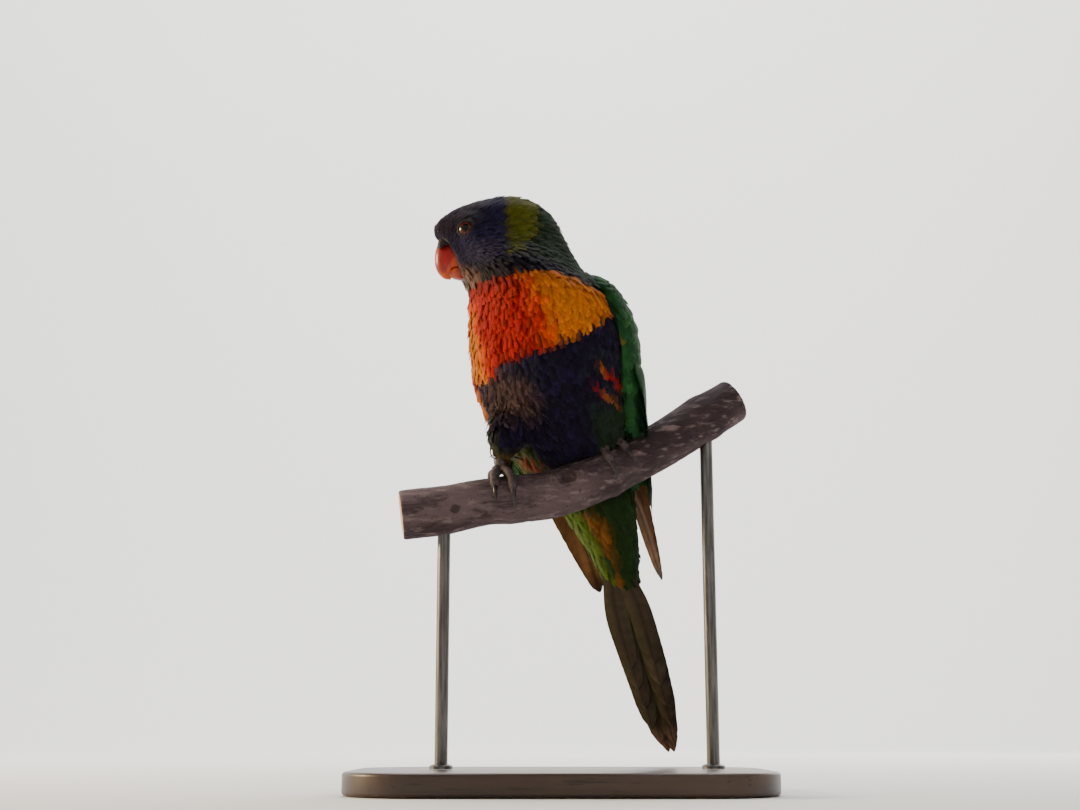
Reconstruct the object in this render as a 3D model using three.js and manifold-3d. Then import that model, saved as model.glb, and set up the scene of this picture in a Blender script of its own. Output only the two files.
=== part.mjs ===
// Rainbow lorikeet, life size, perched on a cut length of branch that two rods hold over a flat base.
// Millimetres, +Z up, the viewer stands on the -Y side and the bird's own left is towards +X.
// The origin is the centre of the base's underside.
import * as THREE from 'three';
import { mergeVertices } from 'three/addons/utils/BufferGeometryUtils.js';
import Module from 'manifold-3d';

const wasm = await Module();
wasm.setup();

// Gap that parted pieces keep between their faces
const GAP = 0.3;
// Finest step that a joined surface keeps
const FINENESS = 0.04;

// Stand
const BASE_LENGTH = 190;
const BASE_DEPTH = 130;
const BASE_HEIGHT = 10;
const BASE_CORNER = 34;
const BASE_BEVEL = 1.2;
const ROD_RADIUS = 3;
const ROD_X = [-54, 70];

// Perch: height of its axis over x = 0, and the points of its axis beside and above that
const PERCH_Z = 137;
const PERCH_AXIS = [
  [-74, -5, -11.5],
  [-56, -3, -9],
  [-37, -1, -5],
  [-18, 0, -3],
  [0, 0, 0],
  [18, 0, 7],
  [37, 1, 16.5],
  [55, 2, 27],
  [70, 4, 37],
  [84, 7, 46],
];
const PERCH_RADIUS = 11.4;
const PERCH_SIDES = 14;
const PERCH_ROWS = 26;
// Swellings of the branch: place along it from 0 to 1, height and length
const PERCH_KNOTS = [
  { at: 0.585, rise: 0.07, spread: 0.02 },
  { at: 0.3, rise: 0.05, spread: 0.03 },
  { at: 0.88, rise: 0.06, spread: 0.03 },
];

// Body sections from the root of the tail to the crown. The heights are above the perch axis.
// half, front and back are the reach to each side, to the breast and to the back.
// turn is the heading in degrees from the viewer towards the bird's right.
const BODY = [
  { x: 32.5, y: 38.1, z: -44, half: 8.5, front: 3.4, back: 3.4, turn: 24 },
  { x: 29.6, y: 35.2, z: -34, half: 10.5, front: 6, back: 4.6, turn: 25 },
  { x: 25.2, y: 31.4, z: -20, half: 14.5, front: 10, back: 8, turn: 26 },
  { x: 20.4, y: 27.4, z: -8, half: 18.5, front: 13, back: 11.5, turn: 28 },
  { x: 12.8, y: 21.3, z: 7, half: 25, front: 18, back: 16.5, turn: 30 },
  { x: 5.0, y: 12.5, z: 22, half: 31.5, front: 24, back: 22, turn: 31 },
  { x: -0.5, y: 3.5, z: 37, half: 36, front: 29.5, back: 27, turn: 33 },
  { x: -3.6, y: -6, z: 54, half: 38.5, front: 33.5, back: 30.5, turn: 37 },
  { x: -5.6, y: -13.5, z: 72, half: 38, front: 34, back: 32, turn: 41 },
  { x: -9.2, y: -18.5, z: 88, half: 34, front: 32, back: 31, turn: 46 },
  { x: -16, y: -21.5, z: 101, half: 26.5, front: 28.5, back: 27.5, turn: 60 },
  { x: -21, y: -22.3, z: 111.5, half: 20.5, front: 27.5, back: 27, turn: 75 },
  { x: -26.6, y: -22, z: 122, half: 17.6, front: 28.3, back: 27.4, turn: 86 },
  { x: -26.4, y: -21.7, z: 130, half: 15.2, front: 22.6, back: 22, turn: 87 },
  { x: -25.4, y: -21.4, z: 136, half: 9.6, front: 13.4, back: 13.2, turn: 87 },
  { x: -25, y: -21.2, z: 139, half: 3, front: 3.6, back: 3.6, turn: 87 },
];
const BODY_SQUARENESS = 2.25;
const BODY_SIDES = 26;
// Heights at which the body is parted: tail, torso, neck, head
const TAIL_CUT_Z = -8;
const NECK_CUT_Z = 84;
const HEAD_CUT_Z = 96.5;

// Bill, in the head's own frame: forward from the head's middle line, and height above the perch
const HEAD_X = -27;
const HEAD_Y = -22;
const HEAD_TURN = 86;
const BILL_PIVOT = { forward: 19.8, z: 101.2 };
const BILL_HALF_WIDTH = 6;
const MANDIBLE_HALF_WIDTH = 4.3;
const CERE_HALF_WIDTH = 6.8;
const BILL_STEPS = 10;
// Rows of the upper bill and the cere: angle of the ray from the gape, reach of the cutting
// edge and of the ridge, and share of the half width
const BILL_ROWS = [
  [112, 1.2, 14.5, 0.8],
  [88, 1.2, 16.9, 0.96],
  [70, 1.2, 17.9, 1],
  [56, 1.2, 17.6, 1],
  [42, 1.6, 15.7, 0.97],
  [28, 2.4, 13.7, 0.9],
  [14, 3.4, 12.2, 0.78],
  [0, 4.3, 10.8, 0.62],
  [-14, 4.9, 9.4, 0.44],
  [-26, 5.2, 8.1, 0.27],
  [-36, 5.3, 6.6, 0.13],
];
const CERE_ROWS = [
  [101, 11, 18.6, 0.86],
  [86, 12, 19.1, 0.98],
  [72, 12.5, 19.2, 1],
  [62, 12.8, 18.7, 0.97],
];
// Rows of the lower bill: forward, underside, upper edge, and share of the half width
const MANDIBLE_ROWS = [
  [14.9, 97.4, 101.1, 1],
  [18.9, 97.1, 101, 1],
  [22, 97.4, 100.6, 0.9],
  [23.7, 98.1, 100, 0.62],
];
const MANDIBLE_SIDES = 12;
// Part of the lower bill's height that lies under its widest line
const MANDIBLE_KEEL = 0.72;
const NOSTRIL = { forward: 6.6, side: 5.9, rise: 15.6, radius: 1.1 };

// Eyes
const EYE_RADIUS = 5;
const EYE_FORWARD = 16.6;
const EYE_Z = 117.6;
const EYE_SIDE = 12;
const LID_RADIUS = 4.1;
const LID_THICK = 0.8;
const LID_OUT = 2.9;
// How far the eyes look ahead for each unit to the side
const EYE_AHEAD = 0.32;

// Tail: a line down and away from the perch, and twelve graduated feathers along it
const TAIL_ORIGIN = [19.5, 25, 0];
const TAIL_RUN = [0.272, 0.272, -0.923];
const TAIL_TURN = 22;
const RECTRIX_TIPS = [130.5, 126, 117, 106, 95, 84];
const RECTRIX_SIDE = [1.7, 3.7, 5.9, 6.4, 6.8, 7.2];
const RECTRIX_HALF_WIDTH = 6;
const RECTRIX_ROOT = 30;
// Height of the uppermost tail feather over the tail's line, and step down to the next
const RECTRIX_TOP = 2.6;
const RECTRIX_STEP = 0.82;
// Width of a feather along its length, as a share of its widest half
const FEATHER_OUTLINE = [
  [0, 0.55],
  [0.2, 0.9],
  [0.5, 1],
  [0.78, 0.86],
  [0.92, 0.58],
  [1, 0.2],
];
// Coverts over (back 1) and under (back -1) the tail's root
const TAIL_COVERTS = [
  { back: -1, tip: 60, root: 26, height: 4.7, count: 3, half: 4.6, spread: 4.2 },
  { back: -1, tip: 45, root: 14, height: 8.6, count: 4, half: 4.6, spread: 4.6 },
  { back: 1, tip: 57, root: 26, height: 4.9, count: 3, half: 4.4, spread: 4.2 },
  { back: 1, tip: 40, root: 14, height: 7.6, count: 4, half: 4.4, spread: 4.4 },
];

// Wings: where the middle of the folded wing runs on the body, as height and angle from the breast
const WING_LINE = [
  { z: 99, angle: 130 },
  { z: 90, angle: 130 },
  { z: 76, angle: 130 },
  { z: 58, angle: 131 },
  { z: 40, angle: 132 },
  { z: 22, angle: 131 },
  { z: 7, angle: 127 },
];
const WING_TIP = { z: -44, side: 16.8, back: 8.5 };
const WING_CURVE_RADIUS = 36;
// Height and half width of the wing's solid core along its reach, and where it ends
const CORE_HEIGHT = [[0, 1], [0.1, 3.6], [0.2, 4.4], [0.45, 4.6], [0.66, 4.2]];
const CORE_HALF = [[0, 6], [0.05, 11.5], [0.12, 15.5], [0.25, 17.6], [0.45, 17.4], [0.66, 14]];
const CORE_END = 0.66;
const CORE_DEPTH = 3;
const CORE_ROWS = 9;
const CORE_COLUMNS = 6;
// Tiers of the folded wing: how many feathers, their reach, widths, and height over the core
const TIERS = [
  { count: 7, root: 0.36, tip: 0.7, fall: 0.02, front: -13.5, back: 15, lift: 1.35, half: 3.3 },
  { count: 7, root: 0.2, tip: 0.45, fall: 0, front: -15, back: 15, lift: 1.3, half: 3.4 },
  { count: 6, root: 0.08, tip: 0.28, fall: 0, front: -14, back: 14, lift: 1.3, half: 3.6 },
];
// Primaries: a stack that fans out of the core's end, the outermost longest and lowest
const PRIMARY_COUNT = 6;
const PRIMARY_HALF_WIDTH = 6;
const PRIMARY_ROOT = 0.56;
const PRIMARY_STEP = 0.82;
const VANE_THICK = 0.55;
const VANE_STEP = 0.9;

// Legs and feet: where each foot stands along the perch
const FOOT_X = { left: 29, right: -26.5 };
const TOE_RADIUS = 2.3;
const TOE_LIFT = 0.35;
const ANKLE_ANGLE = 12;
const ANKLE_RISE = 5.4;
const ANKLE_RADIUS = 4.6;
// Middle line and radius of each feathered leg from the hip to just over the ankle
const LEG_LINE = {
  left: [
    { x: 10, y: 2, z: 66, radius: 7 },
    { x: 14.5, y: -3, z: 56, radius: 11 },
    { x: 21, y: -11, z: 44, radius: 12 },
    { x: 24, y: -10.5, z: 35.5, radius: 8.4 },
  ],
  right: [
    { x: -6, y: 2, z: 52, radius: 8 },
    { x: -12, y: -2, z: 44, radius: 12 },
    { x: -20.5, y: -5, z: 33, radius: 12.4 },
    { x: -26, y: -6, z: 22.5, radius: 8.2 },
  ],
};
// Room that the belly leaves round the branch for the toes, and how far it goes to each side
const TOE_ROOM = 5.8;
const TOE_ROOM_REACH = 8.5;
const SHANK_ROOM = 1.2;
const SHANK_RADIUS = 2.8;
// Toes: where each starts and ends beside the shank along the perch, and its angles round it
const TOES = [
  { start: 1.6, spread: 3.8, from: 12, to: 70, claw: 104 },
  { start: -1.6, spread: -4.6, from: 12, to: 82, claw: 118 },
  { start: 1.8, spread: 4.4, from: 4, to: -50, claw: -82 },
  { start: -1.8, spread: -5, from: 4, to: -66, claw: -100 },
];
const TOE_STEPS = 5;
const KNUCKLE = 0.22;
const CLAW_RADII = [1.3, 1.1, 0.75, 0.25];

const COLOURS = {
  head: 0x2a2c6b,
  neck: 0x6f8f2e,
  torso: 0xb03a14,
  green: 0x2f6b2a,
  tail: 0x4f6f2a,
  bill: 0xd8431f,
  cere: 0x3a3436,
  eye: 0xa8281c,
  foot: 0x6c6a68,
  bark: 0x7a6a60,
  stand: 0x2e2c2b,
};

const v3 = (x, y, z) => new THREE.Vector3(x, y, z);
const UP = v3(0, 0, 1);

function material(colour, roughness = 0.7, metalness = 0) {
  return new THREE.MeshStandardMaterial({ color: colour, roughness, metalness });
}

function smooth(t) {
  const k = Math.min(1, Math.max(0, t));
  return k * k * (3 - 2 * k);
}

function mix(a, b, t) {
  return a + (b - a) * t;
}

// Value on a line through [place, value] pairs that are sorted by place
function along(pairs, place) {
  if (place <= pairs[0][0]) return pairs[0][1];
  for (let i = 1; i < pairs.length; i += 1) {
    const [x0, y0] = pairs[i - 1];
    const [x1, y1] = pairs[i];
    if (place <= x1) return mix(y0, y1, (place - x0) / (x1 - x0));
  }
  return pairs[pairs.length - 1][1];
}

// Closed solid from points and triangles
function solidFrom(points, triangles) {
  const geometry = new THREE.BufferGeometry();
  const flat = points.flatMap((p) => [p.x, p.y, p.z]);
  geometry.setAttribute('position', new THREE.Float32BufferAttribute(flat, 3));
  geometry.setIndex(triangles.flat());
  return solid(geometry);
}

function solid(geometry) {
  const bare = geometry.clone();
  bare.deleteAttribute('normal');
  bare.deleteAttribute('uv');
  const merged = mergeVertices(bare, 1e-4);
  const index = merged.index.array;
  const triangles = [];
  for (let i = 0; i < index.length; i += 3) {
    const [a, b, c] = [index[i], index[i + 1], index[i + 2]];
    if (a !== b && b !== c && c !== a) triangles.push(a, b, c);
  }
  const place = merged.attributes.position;
  if (signedVolume(place, triangles) < 0) triangles.reverse();
  return new wasm.Manifold(new wasm.Mesh({
    numProp: 3,
    vertProperties: Float32Array.from(place.array),
    triVerts: Uint32Array.from(triangles),
  }));
}

function signedVolume(place, triangles) {
  const [a, b, c] = [v3(), v3(), v3()];
  let sum = 0;
  for (let i = 0; i < triangles.length; i += 3) {
    a.fromBufferAttribute(place, triangles[i]);
    b.fromBufferAttribute(place, triangles[i + 1]);
    c.fromBufferAttribute(place, triangles[i + 2]);
    sum += a.dot(b.cross(c));
  }
  return sum;
}

function joined(pieces) {
  return pieces.reduce((whole, piece) => whole.add(piece));
}

// Mesh of the largest closed surface of a solid
function meshOf(name, whole, look) {
  const bodies = whole.simplify(FINENESS).decompose();
  bodies.sort((a, b) => b.volume() - a.volume());
  const data = bodies[0].getMesh();
  const geometry = new THREE.BufferGeometry();
  geometry.setAttribute('position', new THREE.BufferAttribute(data.vertProperties, 3));
  geometry.setIndex(new THREE.BufferAttribute(data.triVerts, 1));
  geometry.computeVertexNormals();
  const mesh = new THREE.Mesh(geometry, look);
  mesh.name = name;
  return mesh;
}

// Solid through rings of equally many points, with a flat cap at each end
function loft(rings) {
  const count = rings[0].length;
  const points = rings.flat();
  const triangles = [];
  for (let i = 0; i + 1 < rings.length; i += 1) {
    for (let j = 0; j < count; j += 1) {
      const k = (j + 1) % count;
      const [a, b] = [i * count + j, i * count + k];
      const [c, d] = [a + count, b + count];
      triangles.push([a, b, d], [a, d, c]);
    }
  }
  for (const [start, flip] of [[0, true], [(rings.length - 1) * count, false]]) {
    const centre = points.length;
    const ring = points.slice(start, start + count);
    points.push(ring.reduce((sum, p) => sum.add(p), v3()).multiplyScalar(1 / count));
    for (let j = 0; j < count; j += 1) {
      const [a, b] = [start + j, start + ((j + 1) % count)];
      triangles.push(flip ? [centre, b, a] : [centre, a, b]);
    }
  }
  return solidFrom(points, triangles);
}

// Thin blade from rows of points on its upper and under face, split alike on both
function blade(rows) {
  const count = rows[0].upper.length;
  const points = rows.flatMap((row) => [...row.upper, ...row.under]);
  const at = (i, j, face) => i * 2 * count + face * count + j;
  const triangles = [];
  const quad = (a, b, c, d) => triangles.push([a, b, c], [a, c, d]);
  for (let i = 0; i + 1 < rows.length; i += 1) {
    for (let j = 0; j + 1 < count; j += 1) {
      quad(at(i, j, 0), at(i, j + 1, 0), at(i + 1, j + 1, 0), at(i + 1, j, 0));
      const [a, b] = [at(i, j, 1), at(i, j + 1, 1)];
      const [c, d] = [at(i + 1, j + 1, 1), at(i + 1, j, 1)];
      triangles.push([a, c, b], [a, d, c]);
    }
    quad(at(i, 0, 1), at(i, 0, 0), at(i + 1, 0, 0), at(i + 1, 0, 1));
    const last = count - 1;
    quad(at(i, last, 0), at(i, last, 1), at(i + 1, last, 1), at(i + 1, last, 0));
  }
  const end = rows.length - 1;
  for (let j = 0; j + 1 < count; j += 1) {
    quad(at(0, j, 0), at(0, j, 1), at(0, j + 1, 1), at(0, j + 1, 0));
    quad(at(end, j + 1, 0), at(end, j + 1, 1), at(end, j, 1), at(end, j, 0));
  }
  return solidFrom(points, triangles);
}

// Body surface: one loft from the tail's root to the crown, read by height and angle
const bodyLine = new THREE.CatmullRomCurve3(BODY.map((s) => v3(s.x, s.y, s.z)));
const bodyReach = new THREE.CatmullRomCurve3(BODY.map((s) => v3(s.half, s.front, s.back)));
const bodyTurn = new THREE.CatmullRomCurve3(BODY.map((s, i) => v3(s.turn, i, 0)));

// Place along the body line at a height above the perch
function bodyPlace(z) {
  let low = 0;
  let high = 1;
  for (let i = 0; i < 40; i += 1) {
    const middle = (low + high) / 2;
    if (bodyLine.getPoint(middle).z < z) low = middle;
    else high = middle;
  }
  return (low + high) / 2;
}

function bodyFrame(place) {
  const turn = THREE.MathUtils.degToRad(bodyTurn.getPoint(place).x);
  const front = v3(-Math.sin(turn), -Math.cos(turn), 0);
  const left = v3(Math.cos(turn), -Math.sin(turn), 0);
  return { centre: bodyLine.getPoint(place), front, left };
}

// Point of the body at an angle from the breast line towards the bird's left, grown outwards
function bodyPoint(place, degrees, grow = 0) {
  const angle = THREE.MathUtils.degToRad(degrees);
  const frame = bodyFrame(place);
  const reach = bodyReach.getPoint(place);
  const power = 2 / BODY_SQUARENESS;
  const cos = Math.cos(angle);
  const sin = Math.sin(angle);
  const ahead = Math.sign(cos) * Math.abs(cos) ** power * ((cos > 0 ? reach.y : reach.z) + grow);
  const aside = Math.sign(sin) * Math.abs(sin) ** power * (reach.x + grow);
  return frame.centre.addScaledVector(frame.front, ahead).addScaledVector(frame.left, aside);
}

function bodyNormal(place, degrees) {
  const e = 1e-3;
  const around = bodyPoint(place, degrees + 1).sub(bodyPoint(place, degrees - 1));
  const upward = bodyPoint(Math.min(1, place + e), degrees).sub(bodyPoint(place - e, degrees));
  return around.cross(upward).normalize();
}

function bodyRings(from, to, rows, grow) {
  const rings = [];
  for (let i = 0; i <= rows; i += 1) {
    const place = mix(from, to, i / rows);
    const ring = [];
    for (let j = 0; j < BODY_SIDES; j += 1) {
      ring.push(bodyPoint(place, (360 * j) / BODY_SIDES, grow));
    }
    rings.push(ring);
  }
  return rings;
}

// Places along the body line of each division, half the gap inside the parting heights
const HALF_GAP = GAP / 2;
const SPANS = {
  tail: [0, bodyPlace(TAIL_CUT_Z - HALF_GAP), 6],
  torso: [bodyPlace(TAIL_CUT_Z + HALF_GAP), bodyPlace(NECK_CUT_Z - HALF_GAP), 14],
  neck: [bodyPlace(NECK_CUT_Z + HALF_GAP), bodyPlace(HEAD_CUT_Z - HALF_GAP), 3],
  head: [bodyPlace(HEAD_CUT_Z + HALF_GAP), 1, 14],
};

function divisionRings(name, grow = 0) {
  const [from, to, rows] = SPANS[name];
  return bodyRings(from, to, rows, grow);
}

// Branch surface: angle 0 is its top and 90 is the side towards the viewer
const perchLine = new THREE.CatmullRomCurve3(PERCH_AXIS.map(([x, y, z]) => v3(x, y, z)));

function perchPlace(x) {
  let low = 0;
  let high = 1;
  for (let i = 0; i < 40; i += 1) {
    const middle = (low + high) / 2;
    if (perchLine.getPoint(middle).x < x) low = middle;
    else high = middle;
  }
  return (low + high) / 2;
}

function perchRadius(place, degrees) {
  const angle = THREE.MathUtils.degToRad(degrees);
  let scale = 1 + 0.02 * Math.sin(place * 17 + 2 * angle) + 0.015 * Math.sin(place * 31 - 3 * angle);
  for (const knot of PERCH_KNOTS) {
    scale += knot.rise * Math.exp(-(((place - knot.at) / knot.spread) ** 2));
  }
  return PERCH_RADIUS * scale * mix(1, 0.94, place);
}

function perchFrame(place) {
  const run = perchLine.getTangent(place);
  const top = UP.clone().addScaledVector(run, -UP.dot(run)).normalize();
  const front = top.clone().cross(run).negate();
  if (front.y > 0) front.negate();
  return { centre: perchLine.getPoint(place), run, top, front };
}

function perchPoint(place, degrees, grow = 0) {
  const angle = THREE.MathUtils.degToRad(degrees);
  const { centre, top, front } = perchFrame(place);
  const radius = perchRadius(place, degrees) + grow;
  return centre
    .addScaledVector(top, radius * Math.cos(angle))
    .addScaledVector(front, radius * Math.sin(angle));
}

function perchSolid(grow = 0, from = 0, to = 1) {
  const rings = [];
  const rows = Math.ceil(PERCH_ROWS * (to - from));
  for (let i = 0; i <= rows; i += 1) {
    const place = mix(from, to, i / rows);
    const ring = [];
    for (let j = 0; j < PERCH_SIDES; j += 1) {
      ring.push(perchPoint(place, (360 * j) / PERCH_SIDES, grow));
    }
    rings.push(ring);
  }
  return loft(rings);
}

// Room over the branch for the toes of a foot
function toeRoom(side) {
  const middle = perchPlace(FOOT_X[side]);
  const reach = TOE_ROOM_REACH / perchLine.getLength();
  return perchSolid(TOE_ROOM, middle - reach, middle + reach);
}

// Round rod of changing radius along points, such as a toe or a claw, grown outwards
function taperedRod(points, radii, sides = 8, grow = 0) {
  const line = new THREE.CatmullRomCurve3(points);
  const last = points.length - 1;
  const side = line.getTangent(0).cross(v3(0.6, 0.3, 0.2)).normalize();
  const rings = points.map((point, i) => {
    const run = line.getTangent(i / last);
    side.addScaledVector(run, -side.dot(run)).normalize();
    const centre = point.clone();
    if (i === 0) centre.addScaledVector(run, -grow);
    if (i === last) centre.addScaledVector(run, grow);
    const other = run.clone().cross(side);
    const ring = [];
    for (let j = 0; j < sides; j += 1) {
      const angle = (2 * Math.PI * j) / sides;
      ring.push(centre.clone()
        .addScaledVector(side, (radii[i] + grow) * Math.cos(angle))
        .addScaledVector(other, (radii[i] + grow) * Math.sin(angle)));
    }
    return ring;
  });
  return loft(rings);
}

// Head frame: forward is where the bill points
const headTurn = THREE.MathUtils.degToRad(HEAD_TURN);
const headForward = v3(-Math.sin(headTurn), -Math.cos(headTurn), 0);
const headLeft = UP.clone().cross(headForward);

function headPoint(forward, side, z) {
  return v3(HEAD_X, HEAD_Y, z)
    .addScaledVector(headForward, forward)
    .addScaledVector(headLeft, side);
}

// Arched section of the upper bill on a ray from the gape, from its cutting edge to its ridge
function billRing(degrees, inner, outer, half) {
  const angle = THREE.MathUtils.degToRad(degrees);
  const ring = [];
  for (let j = 0; j <= BILL_STEPS; j += 1) {
    const bend = THREE.MathUtils.degToRad(mix(-90, 90, j / BILL_STEPS));
    const side = half * Math.sign(bend) * Math.abs(Math.sin(bend)) ** 0.9;
    const radius = mix(inner, outer, Math.cos(bend) ** 0.75);
    const forward = BILL_PIVOT.forward + radius * Math.cos(angle);
    ring.push(headPoint(forward, side, BILL_PIVOT.z + radius * Math.sin(angle)));
  }
  return ring;
}

// Solid through sections on rays from the gape
function arched(rows, half, grow) {
  return loft(rows.map(([degrees, inner, outer, share]) => (
    billRing(degrees, inner - grow, outer + grow, half * share + grow)
  )));
}

function billUpper(grow = 0) {
  return arched(BILL_ROWS, BILL_HALF_WIDTH, grow);
}

// Lower bill: a short scoop under the hook
function billLower(grow = 0) {
  return loft(MANDIBLE_ROWS.map(([forward, low, high, share]) => {
    const ring = [];
    const half = MANDIBLE_HALF_WIDTH * share + grow;
    const middle = mix(low, high, MANDIBLE_KEEL);
    for (let j = 0; j < MANDIBLE_SIDES; j += 1) {
      const angle = (2 * Math.PI * j) / MANDIBLE_SIDES;
      const height = grow + (Math.cos(angle) > 0 ? high - middle : middle - low);
      ring.push(headPoint(forward, half * Math.sin(angle), middle + height * Math.cos(angle)));
    }
    return ring;
  }));
}

// Cere: a low saddle over the root of the upper bill, with a nostril in each side
function cereSolid(grow = 0) {
  return arched(CERE_ROWS, CERE_HALF_WIDTH, grow);
}

function ball(centre, radius, across = 16, rows = 9) {
  const geometry = new THREE.SphereGeometry(radius, across, rows);
  geometry.translate(centre.x, centre.y, centre.z);
  return solid(geometry);
}

function eyeCentre(side) {
  return headPoint(EYE_FORWARD, side * EYE_SIDE, EYE_Z);
}

// Direction in which an eye looks: out to the side and a little ahead
function eyeLook(side) {
  return headLeft.clone().multiplyScalar(side).addScaledVector(headForward, EYE_AHEAD).normalize();
}

// Bare ring of the lids round the opening of the eye
function lidRing(side) {
  const look = eyeLook(side);
  const geometry = new THREE.TorusGeometry(LID_RADIUS, LID_THICK, 5, 16);
  const turn = new THREE.Quaternion().setFromUnitVectors(UP, look);
  const centre = eyeCentre(side).addScaledVector(look, LID_OUT);
  geometry.applyQuaternion(turn);
  geometry.translate(centre.x, centre.y, centre.z);
  return solid(geometry);
}

function headSolid() {
  let head = loft(divisionRings('head'));
  for (const side of [1, -1]) head = head.add(lidRing(side));
  for (const side of [1, -1]) head = head.subtract(ball(eyeCentre(side), EYE_RADIUS + GAP));
  head = head.subtract(billUpper(GAP)).subtract(billLower(GAP)).subtract(cereSolid(GAP));
  return head;
}

function nostril(side) {
  const { forward, rise } = NOSTRIL;
  const centre = headPoint(BILL_PIVOT.forward + forward, side * NOSTRIL.side, BILL_PIVOT.z + rise);
  return ball(centre, NOSTRIL.radius, 10, 6);
}

// Tail frame: run is along the feathers, left is the bird's left and back is its upper face
const tailRun = v3(...TAIL_RUN).normalize();
const tailTurn = THREE.MathUtils.degToRad(TAIL_TURN);
const tailLeft = v3(Math.cos(tailTurn), -Math.sin(tailTurn), 0);
tailLeft.addScaledVector(tailRun, -tailLeft.dot(tailRun)).normalize();
const tailBack = tailLeft.clone().cross(tailRun).normalize();

function tailPoint(reach, side, back) {
  return v3(...TAIL_ORIGIN)
    .addScaledVector(tailRun, reach)
    .addScaledVector(tailLeft, side)
    .addScaledVector(tailBack, back);
}

// Vane on a surface that place(reach, side, height) gives, crowned along its shaft
function vane(place, { from, to, half, side, height, tilt = 0, crown = 0 }) {
  const rows = FEATHER_OUTLINE.map(([t, share]) => {
    const reach = mix(from, to, t);
    const width = half * share;
    const middle = side(t);
    const level = height(t);
    const lean = tilt * width;
    const profile = crown > 0
      ? [[-width, level + lean], [0, level + crown], [width, level - lean]]
      : [[-width, level + lean], [width, level - lean]];
    return {
      upper: profile.map(([a, h]) => place(reach, middle + a, h)),
      under: profile.map(([a, h]) => place(reach, middle + a, h - VANE_THICK)),
    };
  });
  return blade(rows);
}

function tailSolid() {
  const core = loft(divisionRings('tail'));
  const pieces = [core];
  RECTRIX_TIPS.forEach((tip, i) => {
    for (const sign of [1, -1]) {
      const layer = i < 2 ? 2 * i + (sign > 0 ? 1 : 0) : i + 2;
      const level = RECTRIX_TOP - layer * RECTRIX_STEP;
      pieces.push(vane(tailPoint, {
        from: RECTRIX_ROOT,
        to: tip,
        half: RECTRIX_HALF_WIDTH,
        side: (t) => sign * mix(RECTRIX_SIDE[i] * 0.45, RECTRIX_SIDE[i], smooth(t * 2)),
        height: () => level,
        crown: i < 2 ? 0.25 : 0,
      }));
    }
  });
  pieces.push(...tailCoverts());
  return joined(pieces);
}

// Coverts that wrap the tail's root
function tailCoverts() {
  const pieces = [];
  for (const row of TAIL_COVERTS) {
    for (let i = 0; i < row.count; i += 1) {
      const aside = (i - (row.count - 1) / 2) * row.spread;
      const place = (reach, side, height) => tailPoint(reach, side, row.back * height);
      pieces.push(vane(place, {
        from: row.root,
        to: row.tip - Math.abs(aside) * 0.9,
        half: row.half,
        side: (t) => mix(aside * 1.25, aside * 0.8, t),
        height: (t) => mix(row.height, row.height * 0.72 + 0.6, t) - Math.abs(aside) * 0.16,
        tilt: 0.19,
      }));
    }
  }
  return pieces;
}

// Wing ribbon: a line down the side of the back with its outward and dorsal directions
function wingRibbon(sign) {
  const points = [];
  const normals = [];
  for (const row of WING_LINE) {
    const place = bodyPlace(row.z);
    points.push(bodyPoint(place, sign * row.angle));
    normals.push(bodyNormal(place, sign * row.angle));
  }
  const tailReach = -WING_TIP.z / -tailRun.z;
  for (const share of [0.35, 0.7, 1]) {
    const start = points[WING_LINE.length - 1];
    const end = tailPoint(tailReach, sign * WING_TIP.side, WING_TIP.back);
    points.push(start.clone().lerp(end, share));
    normals.push(tailLeft.clone().multiplyScalar(sign * 0.9).addScaledVector(tailBack, 0.45).normalize());
  }
  const line = new THREE.CatmullRomCurve3(points);
  const outward = new THREE.CatmullRomCurve3(normals);
  return { line, outward, length: line.getLength(), sign };
}

// Point of a wing: reach from 0 at the wrist to 1 at the tip, side towards the back, and height
function wingPoint(ribbon, reach, side, height) {
  const t = Math.min(1, Math.max(0, reach));
  const run = ribbon.line.getTangent(t);
  const normal = ribbon.outward.getPoint(t);
  normal.addScaledVector(run, -normal.dot(run)).normalize();
  const dorsal = normal.clone().cross(run).multiplyScalar(-ribbon.sign);
  const bend = side / WING_CURVE_RADIUS;
  const radius = WING_CURVE_RADIUS + height;
  return ribbon.line.getPoint(t)
    .addScaledVector(dorsal, radius * Math.sin(bend))
    .addScaledVector(normal, radius * Math.cos(bend) - WING_CURVE_RADIUS);
}

function wingCore(ribbon) {
  const rows = [];
  for (let i = 0; i <= CORE_ROWS; i += 1) {
    const reach = (CORE_END * i) / CORE_ROWS;
    const half = along(CORE_HALF, reach);
    const height = along(CORE_HEIGHT, reach);
    const upper = [];
    const under = [];
    for (let j = 0; j <= CORE_COLUMNS; j += 1) {
      const share = mix(-1, 1, j / CORE_COLUMNS);
      const crown = 1 - share ** 4;
      upper.push(wingPoint(ribbon, reach, half * share, mix(0.2, height, crown)));
      under.push(wingPoint(ribbon, reach, half * share, -CORE_DEPTH));
    }
    rows.push({ upper, under });
  }
  return blade(rows);
}

function wingTier(ribbon, tier) {
  const pieces = [];
  const spacing = (tier.back - tier.front) / (tier.count - 1);
  for (let i = 0; i < tier.count; i += 1) {
    const aside = tier.front + spacing * i;
    const tip = tier.tip + tier.fall * i;
    const place = (reach, side, height) => wingPoint(ribbon, reach, side, height);
    pieces.push(vane(place, {
      from: tier.root,
      to: tip,
      half: tier.half,
      side: (t) => aside * mix(1, along(CORE_HALF, tip) / along(CORE_HALF, tier.root), t),
      height: (t) => {
        const reach = mix(tier.root, tip, t);
        return along(CORE_HEIGHT, reach) + mix(-1, tier.lift, smooth(t * 2.5));
      },
      tilt: VANE_STEP / spacing,
    }));
  }
  return pieces;
}

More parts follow.
